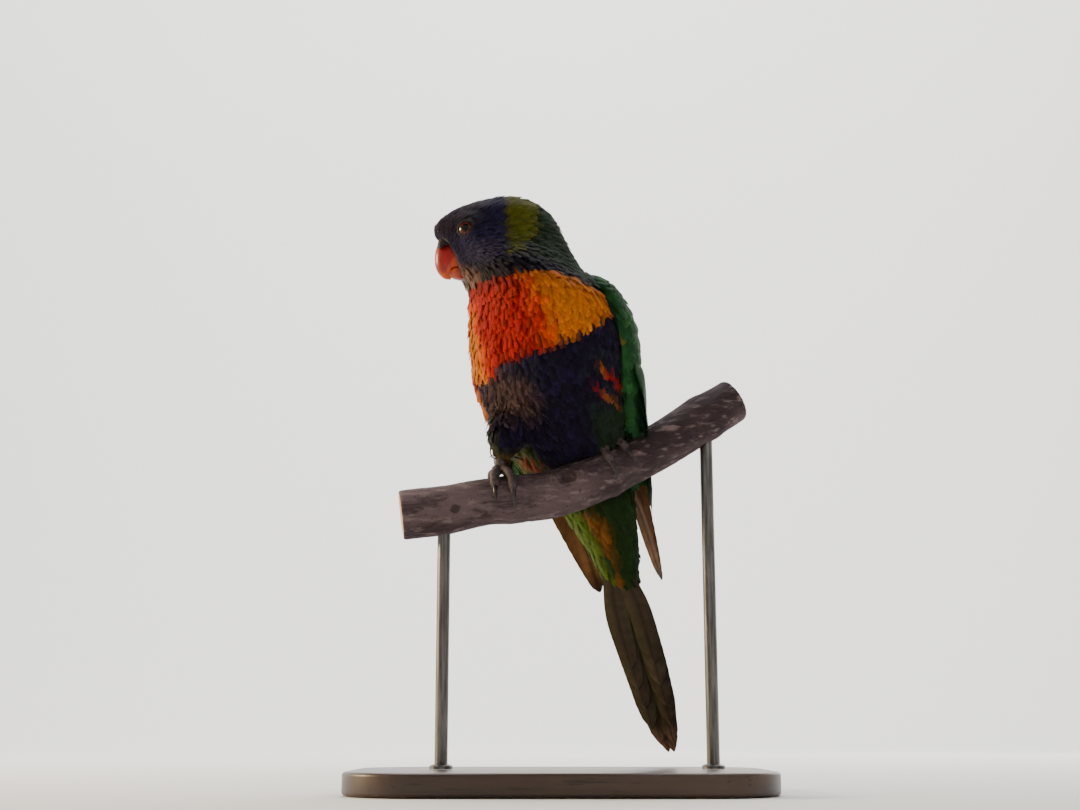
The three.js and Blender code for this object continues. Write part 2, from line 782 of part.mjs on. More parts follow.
function primaries(ribbon) {
  const pieces = [];
  for (let i = 0; i < PRIMARY_COUNT; i += 1) {
    const tip = 0.995 - 0.048 * i - 0.004 * i * i;
    pieces.push(vane((reach, side, height) => wingPoint(ribbon, reach, side, height), {
      from: PRIMARY_ROOT,
      to: tip,
      half: PRIMARY_HALF_WIDTH,
      side: (t) => mix(-7 + 2.6 * i, -1.5 + 0.9 * i, smooth(t)),
      height: (t) => mix(0.2, 0.6, t) + i * PRIMARY_STEP,
      tilt: 0.02,
      crown: 0.2,
    }));
  }
  return pieces;
}

// Whole body, grown by the gap that the wings keep from it
function nearBody() {
  return loft(['tail', 'torso', 'neck', 'head'].flatMap((name) => divisionRings(name, GAP)));
}

function wingSolid(sign) {
  const ribbon = wingRibbon(sign);
  const pieces = [wingCore(ribbon), ...primaries(ribbon)];
  for (const tier of TIERS) pieces.push(...wingTier(ribbon, tier));
  return joined(pieces).subtract(nearBody());
}

// Feathered leg from the flank to the ankle over the perch, grown outwards
function legSolid(side, grow = 0) {
  const ankle = ankleOf(side).addScaledVector(UP, -1);
  const points = [...LEG_LINE[side].map((p) => v3(p.x, p.y, p.z)), ankle];
  const radii = [...LEG_LINE[side].map((p) => p.radius), ANKLE_RADIUS];
  return taperedRod(points, radii, 14, grow).subtract(perchSolid(TOE_ROOM - 2 * GAP - grow));
}

function ankleOf(side) {
  const pad = perchPoint(perchPlace(FOOT_X[side]), ANKLE_ANGLE, 1.5 * TOE_RADIUS);
  return pad.addScaledVector(UP, ANKLE_RISE);
}

// Scaly shank between the feathered leg and the toes, grown outwards
function shank(side, grow = 0) {
  const ankle = ankleOf(side);
  return taperedRod([
    ankle,
    ankle.clone().addScaledVector(UP, -3),
    perchPoint(perchPlace(FOOT_X[side]), 8, 3.4),
  ], [SHANK_RADIUS, SHANK_RADIUS, SHANK_RADIUS], 10, grow);
}

// Foot: a short shank, two toes ahead over the perch's front and two behind, with curved claws
function footSolid(side) {
  const sign = side === 'left' ? 1 : -1;
  const middle = perchPlace(FOOT_X[side]);
  const perMm = 1 / perchLine.getLength();
  const pieces = [shank(side)];
  for (const toe of TOES) {
    const points = [];
    const radii = [];
    for (let i = 0; i <= TOE_STEPS; i += 1) {
      const t = i / TOE_STEPS;
      const shift = sign * mix(toe.start, toe.spread, smooth(t * 1.6)) * perMm;
      const knuckle = KNUCKLE * Math.cos(t * Math.PI * TOE_STEPS);
      const radius = TOE_RADIUS * mix(1.05, 0.78, t) + knuckle;
      points.push(perchPoint(middle + shift, mix(toe.from, toe.to, t), radius + TOE_LIFT));
      radii.push(radius);
    }
    pieces.push(taperedRod(points, radii, 8));
    const claws = [];
    CLAW_RADII.forEach((radius, i) => {
      const t = i / (CLAW_RADII.length - 1);
      const lift = 2.1 + 1.5 * Math.sin(Math.PI * t * 0.9) - 1.3 * t;
      const shift = sign * mix(toe.spread, toe.spread * 1.1, t) * perMm;
      const angle = mix(toe.to - Math.sign(toe.to) * 6, toe.claw, t);
      claws.push(perchPoint(middle + shift, angle, lift));
    });
    pieces.push(taperedRod(claws, CLAW_RADII, 6));
  }
  return joined(pieces);
}

function standBase() {
  const shape = new THREE.Shape();
  const [x, y, r] = [BASE_LENGTH / 2 - BASE_BEVEL, BASE_DEPTH / 2 - BASE_BEVEL, BASE_CORNER];
  shape.moveTo(-x + r, -y);
  shape.lineTo(x - r, -y);
  shape.absarc(x - r, -y + r, r, -Math.PI / 2, 0, false);
  shape.lineTo(x, y - r);
  shape.absarc(x - r, y - r, r, 0, Math.PI / 2, false);
  shape.lineTo(-x + r, y);
  shape.absarc(-x + r, y - r, r, Math.PI / 2, Math.PI, false);
  shape.lineTo(-x, -y + r);
  shape.absarc(-x + r, -y + r, r, Math.PI, 1.5 * Math.PI, false);
  const geometry = new THREE.ExtrudeGeometry(shape, {
    depth: BASE_HEIGHT - 2 * BASE_BEVEL,
    bevelThickness: BASE_BEVEL,
    bevelSize: BASE_BEVEL,
    bevelSegments: 1,
    curveSegments: 7,
  });
  geometry.translate(0, 0, BASE_BEVEL);
  return solid(geometry);
}

function standRod(x, perch) {
  const top = perchLine.getPoint(perchPlace(x));
  const from = BASE_HEIGHT + GAP - PERCH_Z;
  const geometry = new THREE.CylinderGeometry(ROD_RADIUS, ROD_RADIUS, top.z - from, 20);
  geometry.rotateX(Math.PI / 2);
  geometry.translate(x, top.y, (top.z + from) / 2);
  return solid(geometry).subtract(perch);
}

// Assembly
const perch = perchSolid();
const nearPerch = perchSolid(GAP);
let torso = loft(divisionRings('torso')).subtract(nearPerch);
for (const side of ['left', 'right']) {
  torso = torso.subtract(toeRoom(side)).subtract(legSolid(side, GAP)).subtract(shank(side, SHANK_ROOM));
}
const neck = loft(divisionRings('neck'));
const upperBill = billUpper().subtract(cereSolid(GAP));
const lowerBill = billLower().subtract(billUpper(GAP));
const cere = cereSolid().subtract(nostril(1)).subtract(nostril(-1));

const bird = new THREE.Group();
bird.position.z = PERCH_Z;
bird.add(meshOf('perch', perch, material(COLOURS.bark, 0.9)));
bird.add(meshOf('torso', torso, material(COLOURS.torso, 0.8)));
bird.add(meshOf('neck', neck, material(COLOURS.neck, 0.8)));
bird.add(meshOf('head', headSolid(), material(COLOURS.head, 0.8)));
bird.add(meshOf('bill_upper', upperBill, material(COLOURS.bill, 0.35)));
bird.add(meshOf('bill_lower', lowerBill, material(COLOURS.bill, 0.4)));
bird.add(meshOf('cere', cere, material(COLOURS.cere, 0.5)));
bird.add(meshOf('tail', tailSolid().subtract(nearPerch), material(COLOURS.tail, 0.6)));
for (const [side, sign] of [['left', 1], ['right', -1]]) {
  const wing = wingSolid(sign).subtract(perchSolid(TOE_ROOM)).subtract(legSolid(side, GAP));
  const foot = footSolid(side);
  bird.add(meshOf(`eye_${side}`, ball(eyeCentre(sign), EYE_RADIUS), material(COLOURS.eye, 0.1)));
  bird.add(meshOf(`wing_${side}`, wing, material(COLOURS.green, 0.6)));
  const leg = legSolid(side).subtract(shank(side, GAP));
  bird.add(meshOf(`leg_${side}`, leg, material(COLOURS.green, 0.8)));
  bird.add(meshOf(`foot_${side}`, foot, material(COLOURS.foot, 0.6)));
}
ROD_X.forEach((x, i) => {
  const rod = standRod(x, nearPerch);
  bird.add(meshOf(`stand_rod_${i + 1}`, rod, material(COLOURS.stand, 0.4, 0.6)));
});

const model = new THREE.Group();
model.add(bird);
model.add(meshOf('stand_base', standBase(), material(COLOURS.stand, 0.5)));

export default model;
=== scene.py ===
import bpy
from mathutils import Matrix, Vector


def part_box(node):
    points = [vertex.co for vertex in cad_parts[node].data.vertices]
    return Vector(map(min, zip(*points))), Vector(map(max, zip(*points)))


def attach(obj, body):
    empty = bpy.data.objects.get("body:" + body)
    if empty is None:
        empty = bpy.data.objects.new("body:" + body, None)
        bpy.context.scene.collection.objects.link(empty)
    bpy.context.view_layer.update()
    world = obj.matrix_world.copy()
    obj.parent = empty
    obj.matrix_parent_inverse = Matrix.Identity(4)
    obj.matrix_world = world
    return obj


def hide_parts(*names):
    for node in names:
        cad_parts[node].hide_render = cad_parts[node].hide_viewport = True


bl_info = {
    "name": "Rainbow Lorikeet Model",
    "version": (1, 0, 0),
    "blender": (4, 5, 0),
    "location": "View3D > Sidebar > Lorikeet",
    "description": "Plumage, bill, eyes, feet, branch and stage around the solids of a perched lorikeet",
    "category": "Object",
}

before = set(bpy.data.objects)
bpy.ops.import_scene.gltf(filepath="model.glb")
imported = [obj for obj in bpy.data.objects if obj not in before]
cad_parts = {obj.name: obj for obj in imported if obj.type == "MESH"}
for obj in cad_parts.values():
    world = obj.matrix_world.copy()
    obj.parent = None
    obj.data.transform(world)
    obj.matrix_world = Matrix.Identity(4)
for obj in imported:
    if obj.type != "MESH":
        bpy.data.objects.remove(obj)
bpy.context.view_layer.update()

import math

import bpy
import numpy as np
from bpy.props import FloatProperty, FloatVectorProperty, IntProperty, PointerProperty
from mathutils import Vector, noise
from mathutils.bvhtree import BVHTree
from mathutils.kdtree import KDTree

# Shapes are worked out in millimetres from the perch's axis, as in the solids
MM = 0.001
PERCH_Z = 137
BODY_NAME = "root"

# Perch: points of its axis, thickness and swellings
PERCH_AXIS = [
    (-74, -5, -11.5), (-56, -3, -9), (-37, -1, -5), (-18, 0, -3), (0, 0, 0),
    (18, 0, 7), (37, 1, 16.5), (55, 2, 27), (70, 4, 37), (84, 7, 46),
]
PERCH_RADIUS = 11.4
PERCH_TAPER = 0.94
PERCH_KNOTS = [(0.585, 0.07, 0.02), (0.3, 0.05, 0.03), (0.88, 0.06, 0.03)]

# Body sections from the root of the tail to the crown:
# x, y, height, reach to the side, to the breast and to the back, and heading in degrees
BODY = [
    (32.5, 38.1, -44, 8.5, 3.4, 3.4, 24),
    (29.6, 35.2, -34, 10.5, 6, 4.6, 25),
    (25.2, 31.4, -20, 14.5, 10, 8, 26),
    (20.4, 27.4, -8, 18.5, 13, 11.5, 28),
    (12.8, 21.3, 7, 25, 18, 16.5, 30),
    (5.0, 12.5, 22, 31.5, 24, 22, 31),
    (-0.5, 3.5, 37, 36, 29.5, 27, 33),
    (-3.6, -6, 54, 38.5, 33.5, 30.5, 37),
    (-5.6, -13.5, 72, 38, 34, 32, 41),
    (-9.2, -18.5, 88, 34, 32, 31, 46),
    (-16, -21.5, 101, 26.5, 28.5, 27.5, 60),
    (-21, -22.3, 111.5, 20.5, 27.5, 27, 75),
    (-26.6, -22, 122, 17.6, 28.3, 27.4, 86),
    (-26.4, -21.7, 130, 15.2, 22.6, 22, 87),
    (-25.4, -21.4, 136, 9.6, 13.4, 13.2, 87),
    (-25, -21.2, 139, 3, 3.6, 3.6, 87),
]
BODY_SQUARENESS = 2.25
# How far the face feathers stand forward over the root of the bill, by height
FACE_SWELL = [
    (90, 0), (94, 1.3), (97.5, 4.4), (101, 5.6), (106, 4.6), (112, 4.0), (115.5, 5.2),
    (118.5, 5.8), (122, 4.9), (127, 3.8), (134, 1.9), (140, 0.6), (144, 0),
]

# Head frame and bill
HEAD_X = -27
HEAD_Y = -22
HEAD_TURN = 86
BILL_FORWARD = 19.8
BILL_Z = 101.2
BILL_HALF_WIDTH = 6
CERE_HALF_WIDTH = 6.8
MANDIBLE_HALF_WIDTH = 4.3
MANDIBLE_KEEL = 0.72
# Rows of upper bill and cere: angle of the ray from the gape, cutting edge, ridge, share of width
BILL_ROWS = [
    (112, 1.2, 14.5, 0.8), (88, 1.2, 16.9, 0.96), (70, 1.2, 17.9, 1), (56, 1.2, 17.6, 1),
    (42, 1.6, 15.7, 0.97), (28, 2.4, 13.7, 0.9), (14, 3.4, 12.2, 0.78), (0, 4.3, 10.8, 0.62),
    (-14, 4.9, 9.4, 0.44), (-26, 5.2, 8.1, 0.27), (-36, 5.3, 6.6, 0.13),
]
BILL_POINT = (-41, 5.75, 6.15, 0.035)
CERE_SKIN = [
    (101, 11, 18.6, 0.86), (86, 12, 19.4, 0.98), (74, 12.5, 19.7, 1), (64, 12.8, 19.2, 1),
    (56, 13.1, 18.2, 1), (50, 13.3, 17, 0.98), (45, 13.4, 15.4, 0.95),
]
# Rows of the lower bill: forward, underside, upper edge tucked into the upper bill, share of width
MANDIBLE_ROWS = [
    (14.9, 97.4, 102.4, 1), (18.9, 97.1, 103.3, 1), (22, 97.5, 103, 0.92), (24.4, 98.5, 101.6, 0.6),
]
# Nostrils: ahead of the gape, to the side of the middle line and above the gape
NOSTRIL = (6.3, 6.4, 15.8)
NOSTRIL_RIM = 1.5
NOSTRIL_DEPTH = 1.3

# Eyes
EYE_RADIUS = 5
EYE_FORWARD = 16.6
EYE_Z = 117.6
EYE_SIDE = 12
# How far the eyes look ahead for each unit to the side
EYE_AHEAD = 0.32
EYE_CENTRE_SWELL = 0.22
ORBIT_SWELL = 1.3
# Edges of pupil and iris, and opening between the lids, in degrees from the middle of the eye
PUPIL_EDGE = 22
IRIS_EDGE = 38.5
LID_OPENING = 45

# Tail: a line down and away from the branch, and graduated pairs of feathers along it
TAIL_ORIGIN = (19.5, 25, 0)
TAIL_RUN = (0.272, 0.272, -0.923)
TAIL_TURN = 22
RECTRIX_TIPS = [130.5, 126, 117, 106, 95, 84]
RECTRIX_SIDE = [1.6, 3.4, 5.2, 5.6, 6.0, 6.3]
RECTRIX_HALF_WIDTH = 6.7
RECTRIX_ROOT = 30
# Height of the uppermost tail feather over that line, and step down to the next
RECTRIX_TOP = 2.6
RECTRIX_STEP = 0.82

# Wings: where the middle of the folded wing runs on the body, as height and angle from the breast
WING_LINE = [(99, 130), (90, 130), (76, 130), (58, 131), (40, 132), (22, 131), (7, 127)]
WING_TIP = (-44, 16.8, 8.5)
WING_CURVE_RADIUS = 36
# Height and half width of the wing's flesh along its reach
CORE_HEIGHT = [(0, 1), (0.1, 3.6), (0.2, 4.4), (0.45, 4.6), (0.66, 4.2)]
CORE_HALF = [(0, 6), (0.05, 11.5), (0.12, 15.5), (0.25, 17.6), (0.45, 17.4), (0.66, 14)]

# Legs: middle line and radius from hip to ankle, and where each foot stands
FOOT_X = {"left": 29, "right": -26.5}
LEG_LINE = {
    "left": [(10, 2, 66, 7), (14.5, -3, 56, 11), (21, -11, 44, 12), (24, -10.5, 35.5, 8.4)],
    "right": [(-6, 2, 52, 8), (-12, -2, 44, 12), (-20.5, -5, 33, 12.4), (-26, -6, 22.5, 8.2)],
}
ANKLE_ANGLE = 12
ANKLE_RISE = 5.4
ANKLE_RADIUS = 4.6
TOE_RADIUS = 2.3
TOE_LIFT = 0.35
SHANK_RADIUS = 2.8
# Toes: start and end beside the shank, and angles round the branch of root, end and claw's tip
TOES = [(1.6, 3.8, 12, 70, 104), (-1.6, -4.6, 12, 82, 118), (1.8, 4.4, 4, -50, -82), (-1.8, -5, 4, -66, -100)]

# Camera: distance, upward slope and what it looks at
PHOTO_WIDTH = 1080
CAMERA_DISTANCE = 0.74
CAMERA_SLOPE = math.radians(12.5)
CAMERA_ASIDE = -9.2
CAMERA_ABOVE = 49.5
METRES_A_PIXEL = 0.00046
SENSOR = 36

# Floor: reach, height and radius of its upward bend, in metres, and how far it lies under the base
FLOOR_REACH = 3.2
FLOOR_HEIGHT = 3.2
FLOOR_BEND = 1.5
FLOOR_DROP = 0.0003
# Lamps: place, what it shines at, size and colour
MODEL_MIDDLE = (0, 0, 0.19)
LAMPS = {
    "key": ((-1.5, 0.1, 0.55), MODEL_MIDDLE, 0.45, (1.0, 0.73, 0.4)),
    "fill": ((0.6, -1.6, 0.9), MODEL_MIDDLE, 1.4, (1.0, 0.97, 0.93)),
    "top": ((0.1, 0.4, 1.7), MODEL_MIDDLE, 1.2, (0.95, 0.97, 1.0)),
    "rear": ((0.8, 1.3, 0.7), MODEL_MIDDLE, 0.9, (1.0, 0.95, 0.88)),
    "backdrop": ((0, 0.9, 2.6), (0, 3.2, 1.0), 2.0, (1.0, 1.0, 1.0)),
}

# Side of the patch that one feather takes on the bake map, and most triangles of one coat piece
PATCH = 0.003
COAT_LIMIT = 190000


def tone(red, green, blue):
    """Linear colour of a tone given in display values from 0 to 255"""
    shares = (red / 255, green / 255, blue / 255)
    return tuple(s / 12.92 if s <= 0.04045 else ((s + 0.055) / 1.055) ** 2.4 for s in shares)


def smooth(t):
    k = np.clip(t, 0, 1)
    return k * k * (3 - 2 * k)


def mix(a, b, t):
    return a + (b - a) * t


def past(value, start, fade):
    """0 up to start, and 1 from fade past it"""
    return smooth((value - start) / fade)


def short_of(value, end, fade):
    """1 up to fade short of end, and 0 from end on"""
    return smooth((end - value) / fade)


def unit(v):
    v = np.asarray(v, float)
    return v / np.maximum(np.linalg.norm(v, axis=-1, keepdims=True), 1e-9)


def whole_turn(count):
    return np.linspace(0, 2 * math.pi, count, endpoint=False)


def along(pairs, place):
    """Value on a line through (place, value) pairs"""
    return np.interp(place, [p[0] for p in pairs], [p[1] for p in pairs])


def wander(points, scale, seed=0):
    """Smooth noise from -1 to 1 at points in millimetres"""
    shift = Vector((seed * 17.3, seed * 5.1, seed * 9.7))
    flat = np.reshape(points, (-1, 3)) * scale
    values = [noise.noise(Vector(p) + shift) for p in flat]
    return np.reshape(values, np.shape(points)[:-1])


class Line:
    """Smooth line through stations, read at places from 0 to 1"""

    def __init__(self, stations):
        p = np.asarray(stations, float)
        self.points = np.vstack([2 * p[0] - p[1], p, 2 * p[-1] - p[-2]])
        self.steps = np.maximum(np.sum(np.diff(self.points, axis=0) ** 2, axis=1) ** 0.25, 1e-3)

    def at(self, place):
        t = np.clip(np.asarray(place, float), 0, 1) * (len(self.points) - 3)
        i = np.minimum(t.astype(int), len(self.points) - 4)
        w = (t - i)[..., None]
        x0, x1, x2, x3 = (self.points[i + k] for k in range(4))
        d0, d1, d2 = (self.steps[i + k][..., None] for k in range(3))
        t1 = ((x1 - x0) / d0 - (x2 - x0) / (d0 + d1) + (x2 - x1) / d1) * d1
        t2 = ((x2 - x1) / d1 - (x3 - x1) / (d1 + d2) + (x3 - x2) / d2) * d1
        bend = -3 * x1 + 3 * x2 - 2 * t1 - t2
        twist = 2 * x1 - 2 * x2 + t1 + t2
        return x1 + t1 * w + bend * w**2 + twist * w**3

    def run(self, place):
        place = np.asarray(place, float)
        return unit(self.at(place + 1e-4) - self.at(place - 1e-4))

    def length(self):
        points = self.at(np.linspace(0, 1, 401))
        return np.sum(np.linalg.norm(np.diff(points, axis=0), axis=1))


SAMPLES = np.linspace(0, 1, 2001)

BODY_LINE = Line([s[:3] for s in BODY])
BODY_REACH = Line([s[3:6] for s in BODY])
BODY_HEADING = Line([(s[6], i, 0) for i, s in enumerate(BODY)])
BODY_HEIGHTS = BODY_LINE.at(SAMPLES)[:, 2]


def body_place(z):
    return np.interp(z, BODY_HEIGHTS, SAMPLES)


def body_frame(place):
    turn = np.radians(BODY_HEADING.at(place)[..., 0])
    level = np.zeros_like(turn)
    front = np.stack([-np.sin(turn), -np.cos(turn), level], -1)
    left = np.stack([np.cos(turn), -np.sin(turn), level], -1)
    return BODY_LINE.at(place), front, left


def body_point(place, degrees, grow=0.0):
    """Point of the body at an angle from the breast line towards the bird's left"""
    angle = np.radians(degrees)
    centre, front, left = body_frame(place)
    reach = BODY_REACH.at(place)
    power = 2 / BODY_SQUARENESS
    cos, sin = np.cos(angle), np.sin(angle)
    ahead = np.sign(cos) * np.abs(cos) ** power * (np.where(cos > 0, reach[..., 1], reach[..., 2]) + grow)
    aside = np.sign(sin) * np.abs(sin) ** power * (reach[..., 0] + grow)
    return centre + front * ahead[..., None] + left * aside[..., None]


def body_normal(place, degrees):
    around = body_point(place, degrees + 1) - body_point(place, degrees - 1)
    upward = body_point(place + 1e-3, degrees) - body_point(place - 1e-3, degrees)
    return unit(np.cross(around, upward))


def body_angle(points):
    """Angle from the breast line, in degrees, of points near the body"""
    place = body_place(points[..., 2])
    centre, front, left = body_frame(place)
    reach = BODY_REACH.at(place)
    out = points - centre
    ahead = np.sum(out * front, -1)
    aside = np.sum(out * left, -1) / reach[..., 0]
    ahead = ahead / np.where(ahead > 0, reach[..., 1], reach[..., 2])
    power = BODY_SQUARENESS / 2
    return np.degrees(np.arctan2(
        np.sign(aside) * np.abs(aside) ** power, np.sign(ahead) * np.abs(ahead) ** power
    ))


PERCH_LINE = Line(PERCH_AXIS)
PERCH_PLACES = PERCH_LINE.at(SAMPLES)[:, 0]


def perch_place(x):
    return np.interp(x, PERCH_PLACES, SAMPLES)


def perch_radius(place, degrees):
    angle = np.radians(degrees)
    scale = 1 + 0.02 * np.sin(place * 17 + 2 * angle) + 0.015 * np.sin(place * 31 - 3 * angle)
    for at, rise, spread in PERCH_KNOTS:
        scale = scale + rise * np.exp(-(((place - at) / spread) ** 2))
    return PERCH_RADIUS * scale * mix(1, PERCH_TAPER, place)


def perch_point(place, degrees, lift=0.0):
    """Point of the branch: angle 0 is its top and 90 is the side towards the viewer"""
    angle = np.radians(degrees)[..., None]
    run = PERCH_LINE.run(place)
    top = unit(np.array([0, 0, 1.0]) - run * run[..., 2:])
    front = np.cross(run, top)
    front = front * np.where(front[..., 1:2] > 0, -1, 1)
    radius = (perch_radius(place, degrees) + lift)[..., None]
    return PERCH_LINE.at(place) + top * radius * np.cos(angle) + front * radius * np.sin(angle)


def perch_clearance(points):
    """Distance of points from the branch's surface"""
    place = perch_place(points[..., 0])
    out = points - PERCH_LINE.at(place)
    run = PERCH_LINE.run(place)
    out = out - run * np.sum(out * run, -1, keepdims=True)
    return np.linalg.norm(out, axis=-1) - PERCH_RADIUS


HEAD_HEADING = math.radians(HEAD_TURN)
HEAD_AHEAD = np.array([-math.sin(HEAD_HEADING), -math.cos(HEAD_HEADING), 0])
HEAD_LEFT = np.cross([0, 0, 1], HEAD_AHEAD)


def head_point(forward, side, z):
    forward, side, z = np.broadcast_arrays(forward, side, z)
    level = np.stack([np.full(z.shape, HEAD_X), np.full(z.shape, HEAD_Y), z], -1).astype(float)
    return level + forward[..., None] * HEAD_AHEAD + side[..., None] * HEAD_LEFT


def head_places(points):
    """How far forward and to the left of the head's middle line points are"""
    out = points - np.array([HEAD_X, HEAD_Y, 0])
    return out @ HEAD_AHEAD, out @ HEAD_LEFT


TAIL_AXIS = unit(TAIL_RUN)
TAIL_LEFT = np.array([math.cos(math.radians(TAIL_TURN)), -math.sin(math.radians(TAIL_TURN)), 0])
TAIL_LEFT = unit(TAIL_LEFT - TAIL_AXIS * (TAIL_LEFT @ TAIL_AXIS))
TAIL_BACK = np.cross(TAIL_LEFT, TAIL_AXIS)


def tail_point(reach, side, back):
    reach, side, back = np.broadcast_arrays(reach, side, back)
    out = reach[..., None] * TAIL_AXIS + side[..., None] * TAIL_LEFT + back[..., None] * TAIL_BACK
    return np.array(TAIL_ORIGIN) + out


class Wing:
    """Surface of a folded wing: reach from wrist to tip, side towards the back, and height"""

    def __init__(self, label, sign):
        z, angle = (np.array(column, float) for column in zip(*WING_LINE))
        place = body_place(z)
        points = body_point(place, sign * angle)
        normals = body_normal(place, sign * angle)
        tip_z, tip_side, tip_back = WING_TIP
        end = tail_point(tip_z / TAIL_AXIS[2], sign * tip_side, tip_back)
        out = unit(sign * 0.9 * TAIL_LEFT + 0.45 * TAIL_BACK)
        free = [mix(points[-1], end, share) for share in (0.35, 0.7, 1)]
        self.line = Line(np.vstack([points, free]))
        self.outward = Line(np.vstack([normals, [out] * 3]))
        self.sign = sign
        self.node = f"wing_{label}"

    def at(self, reach, side, height):
        reach, side, height = np.broadcast_arrays(reach, side, height)
        reach = np.clip(reach, 0, 1)
        run = self.line.run(reach)
        normal = self.outward.at(reach)
        normal = unit(normal - run * np.sum(normal * run, -1, keepdims=True))
        dorsal = np.cross(normal, run) * -self.sign
        bend = (side / WING_CURVE_RADIUS)[..., None]
        radius = (WING_CURVE_RADIUS + height)[..., None]
        lift = radius * np.cos(bend) - WING_CURVE_RADIUS
        return self.line.at(reach) + dorsal * radius * np.sin(bend) + normal * lift


def ankle(side):
    pad = perch_point(perch_place(FOOT_X[side]), ANKLE_ANGLE, 1.5 * TOE_RADIUS)
    return pad + np.array([0, 0, ANKLE_RISE])


# Meshes

def settings():
    return bpy.context.scene.lorikeet_sizes


def colours():
    return bpy.context.scene.lorikeet_colours


def new_object(name, data):
    made = bpy.data.objects.new(name, data)
    bpy.context.scene.collection.objects.link(made)
    return made


def piece(name, points, loops, totals, slot, replaced=(), sharp=60):
    """Mesh object from points in millimetres and faces, riding on the model"""
    mesh = bpy.data.meshes.new(name)
    place = (np.reshape(points, (-1, 3)) + [0, 0, PERCH_Z]) * MM
    mesh.vertices.add(len(place))
    mesh.vertices.foreach_set("co", place.astype(np.float32).ravel())
    mesh.loops.add(len(loops))
    mesh.loops.foreach_set("vertex_index", np.asarray(loops, np.int32))
    mesh.polygons.add(len(totals))
    starts = np.concatenate([[0], np.cumsum(totals)[:-1]])
    mesh.polygons.foreach_set("loop_start", starts.astype(np.int32))
    mesh.polygons.foreach_set("use_smooth", np.ones(len(totals), bool))
    mesh.update(calc_edges=True)
    face_outward(mesh, place)
    mesh.set_sharp_from_angle(angle=math.radians(sharp))
    made = new_object(name, mesh)
    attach(made, BODY_NAME)
    if replaced:
        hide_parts(*replaced)
    return made


def face_outward(mesh, place):
    """Turns the faces where they enclose a negative volume"""
    mesh.calc_loop_triangles()
    corners = read(mesh.loop_triangles, "vertices", kind=np.int32)
    a, b, c = (place[corners[:, i]] - place.mean(0) for i in range(3))
    if np.sum(a * np.cross(b, c)) < 0:
        mesh.flip_normals()


def read(items, name, width=3, kind=float):
    """One property of all items of a mesh, as rows"""
    values = np.empty(len(items) * width, kind)
    items.foreach_get(name, values)
    return values.reshape(-1, width)


def tube(rings, looped=False):
    """Points, loops and face sizes of a skin over rings, with closed ends or joined into a loop"""
    rows, around = rings.shape[:2]
    at = np.arange(rows * around).reshape(rows, around)
    if looped:
        at = np.vstack([at, at[:1]])
    ahead = np.roll(at, -1, axis=1)
    quads = np.stack([at[:-1], ahead[:-1], ahead[1:], at[1:]], -1).reshape(-1, 4)
    points = rings.reshape(-1, 3)
    loops, totals = [quads.ravel()], [np.full(len(quads), 4)]
    if not looped:
        points = np.vstack([points, rings[0].mean(0), rings[-1].mean(0)])
        last = rows * around
        first = np.stack([np.full(around, last), ahead[0], at[0]], -1)
        final = np.stack([np.full(around, last + 1), at[-1], ahead[-1]], -1)
        caps = np.vstack([first, final])
        loops.append(caps.ravel())
        totals.append(np.full(len(caps), 3))
    return points, np.concatenate(loops), np.concatenate(totals)


def joined(parts):
    """One set of points, loops and face sizes from several"""
    points, loops, totals, base = [], [], [], 0
    for part_points, part_loops, part_totals in parts:
        points.append(part_points)
        loops.append(part_loops + base)
        totals.append(part_totals)
        base += len(part_points)
    return np.vstack(points), np.concatenate(loops), np.concatenate(totals)


def rod_rings(points, radii, around):
    """Rings of a bent round rod whose sideways direction stays steady"""
    points = np.asarray(points, float)
    run = unit(np.gradient(points, axis=0))
    side = unit(np.cross(run[0], [0.6, 0.3, 0.2]))
    angle = whole_turn(around)
    cos, sin = np.cos(angle), np.sin(angle)
    rings = []
    for point, ahead, radius in zip(points, run, radii):
        side = unit(side - ahead * (side @ ahead))
        other = np.cross(ahead, side)
        rings.append(point + radius * (np.outer(cos, side) + np.outer(sin, other)))
    return np.array(rings)


def dress(made, tints, material):
    """Colour of each point or one for all, under the name that materials read, and the material"""
    layer = made.data.color_attributes.new(name="Tint", type="FLOAT_COLOR", domain="POINT")
    flat = np.ones((len(made.data.vertices), 4), np.float32)
    flat[:, :3] = np.reshape(tints, (-1, 3))
    layer.data.foreach_set("color", flat.ravel())
    made.data.materials.append(material)


def rgb(colour):
    return np.array(colour[:])


def lay_map(made, name, places):
    """UV map from one place for each point of the mesh"""
    layer = made.data.uv_layers.new(name=name)
    corners = read(made.data.loops, "vertex_index", 1, np.int32)[:, 0]
    layer.data.foreach_set("uv", places[corners].astype(np.float32).ravel())


# Materials

def new_material(name, roughness, specular=0.5):
    material = bpy.data.materials.new(name)
    material.use_nodes = True
    shader = material.node_tree.nodes["Principled BSDF"]
    shader.inputs["Roughness"].default_value = roughness
    shader.inputs["Specular IOR Level"].default_value = specular
    return material, material.node_tree, shader


def node(tree, kind, **values):
    made = tree.nodes.new(kind)
    for key, value in values.items():
        if hasattr(made, key):
            setattr(made, key, value)
        else:
            made.inputs[key.replace("_", " ")].default_value = value
    return made


def arithmetic(tree, operation, a, b=None, c=None):
    made = tree.nodes.new("ShaderNodeMath")
    made.operation = operation
    for socket, value in zip(made.inputs, (a, b, c)):
        if value is None:
            continue
        if isinstance(value, (int, float)):
            socket.default_value = value
        else:
            tree.links.new(value, socket)
    return made.outputs[0]


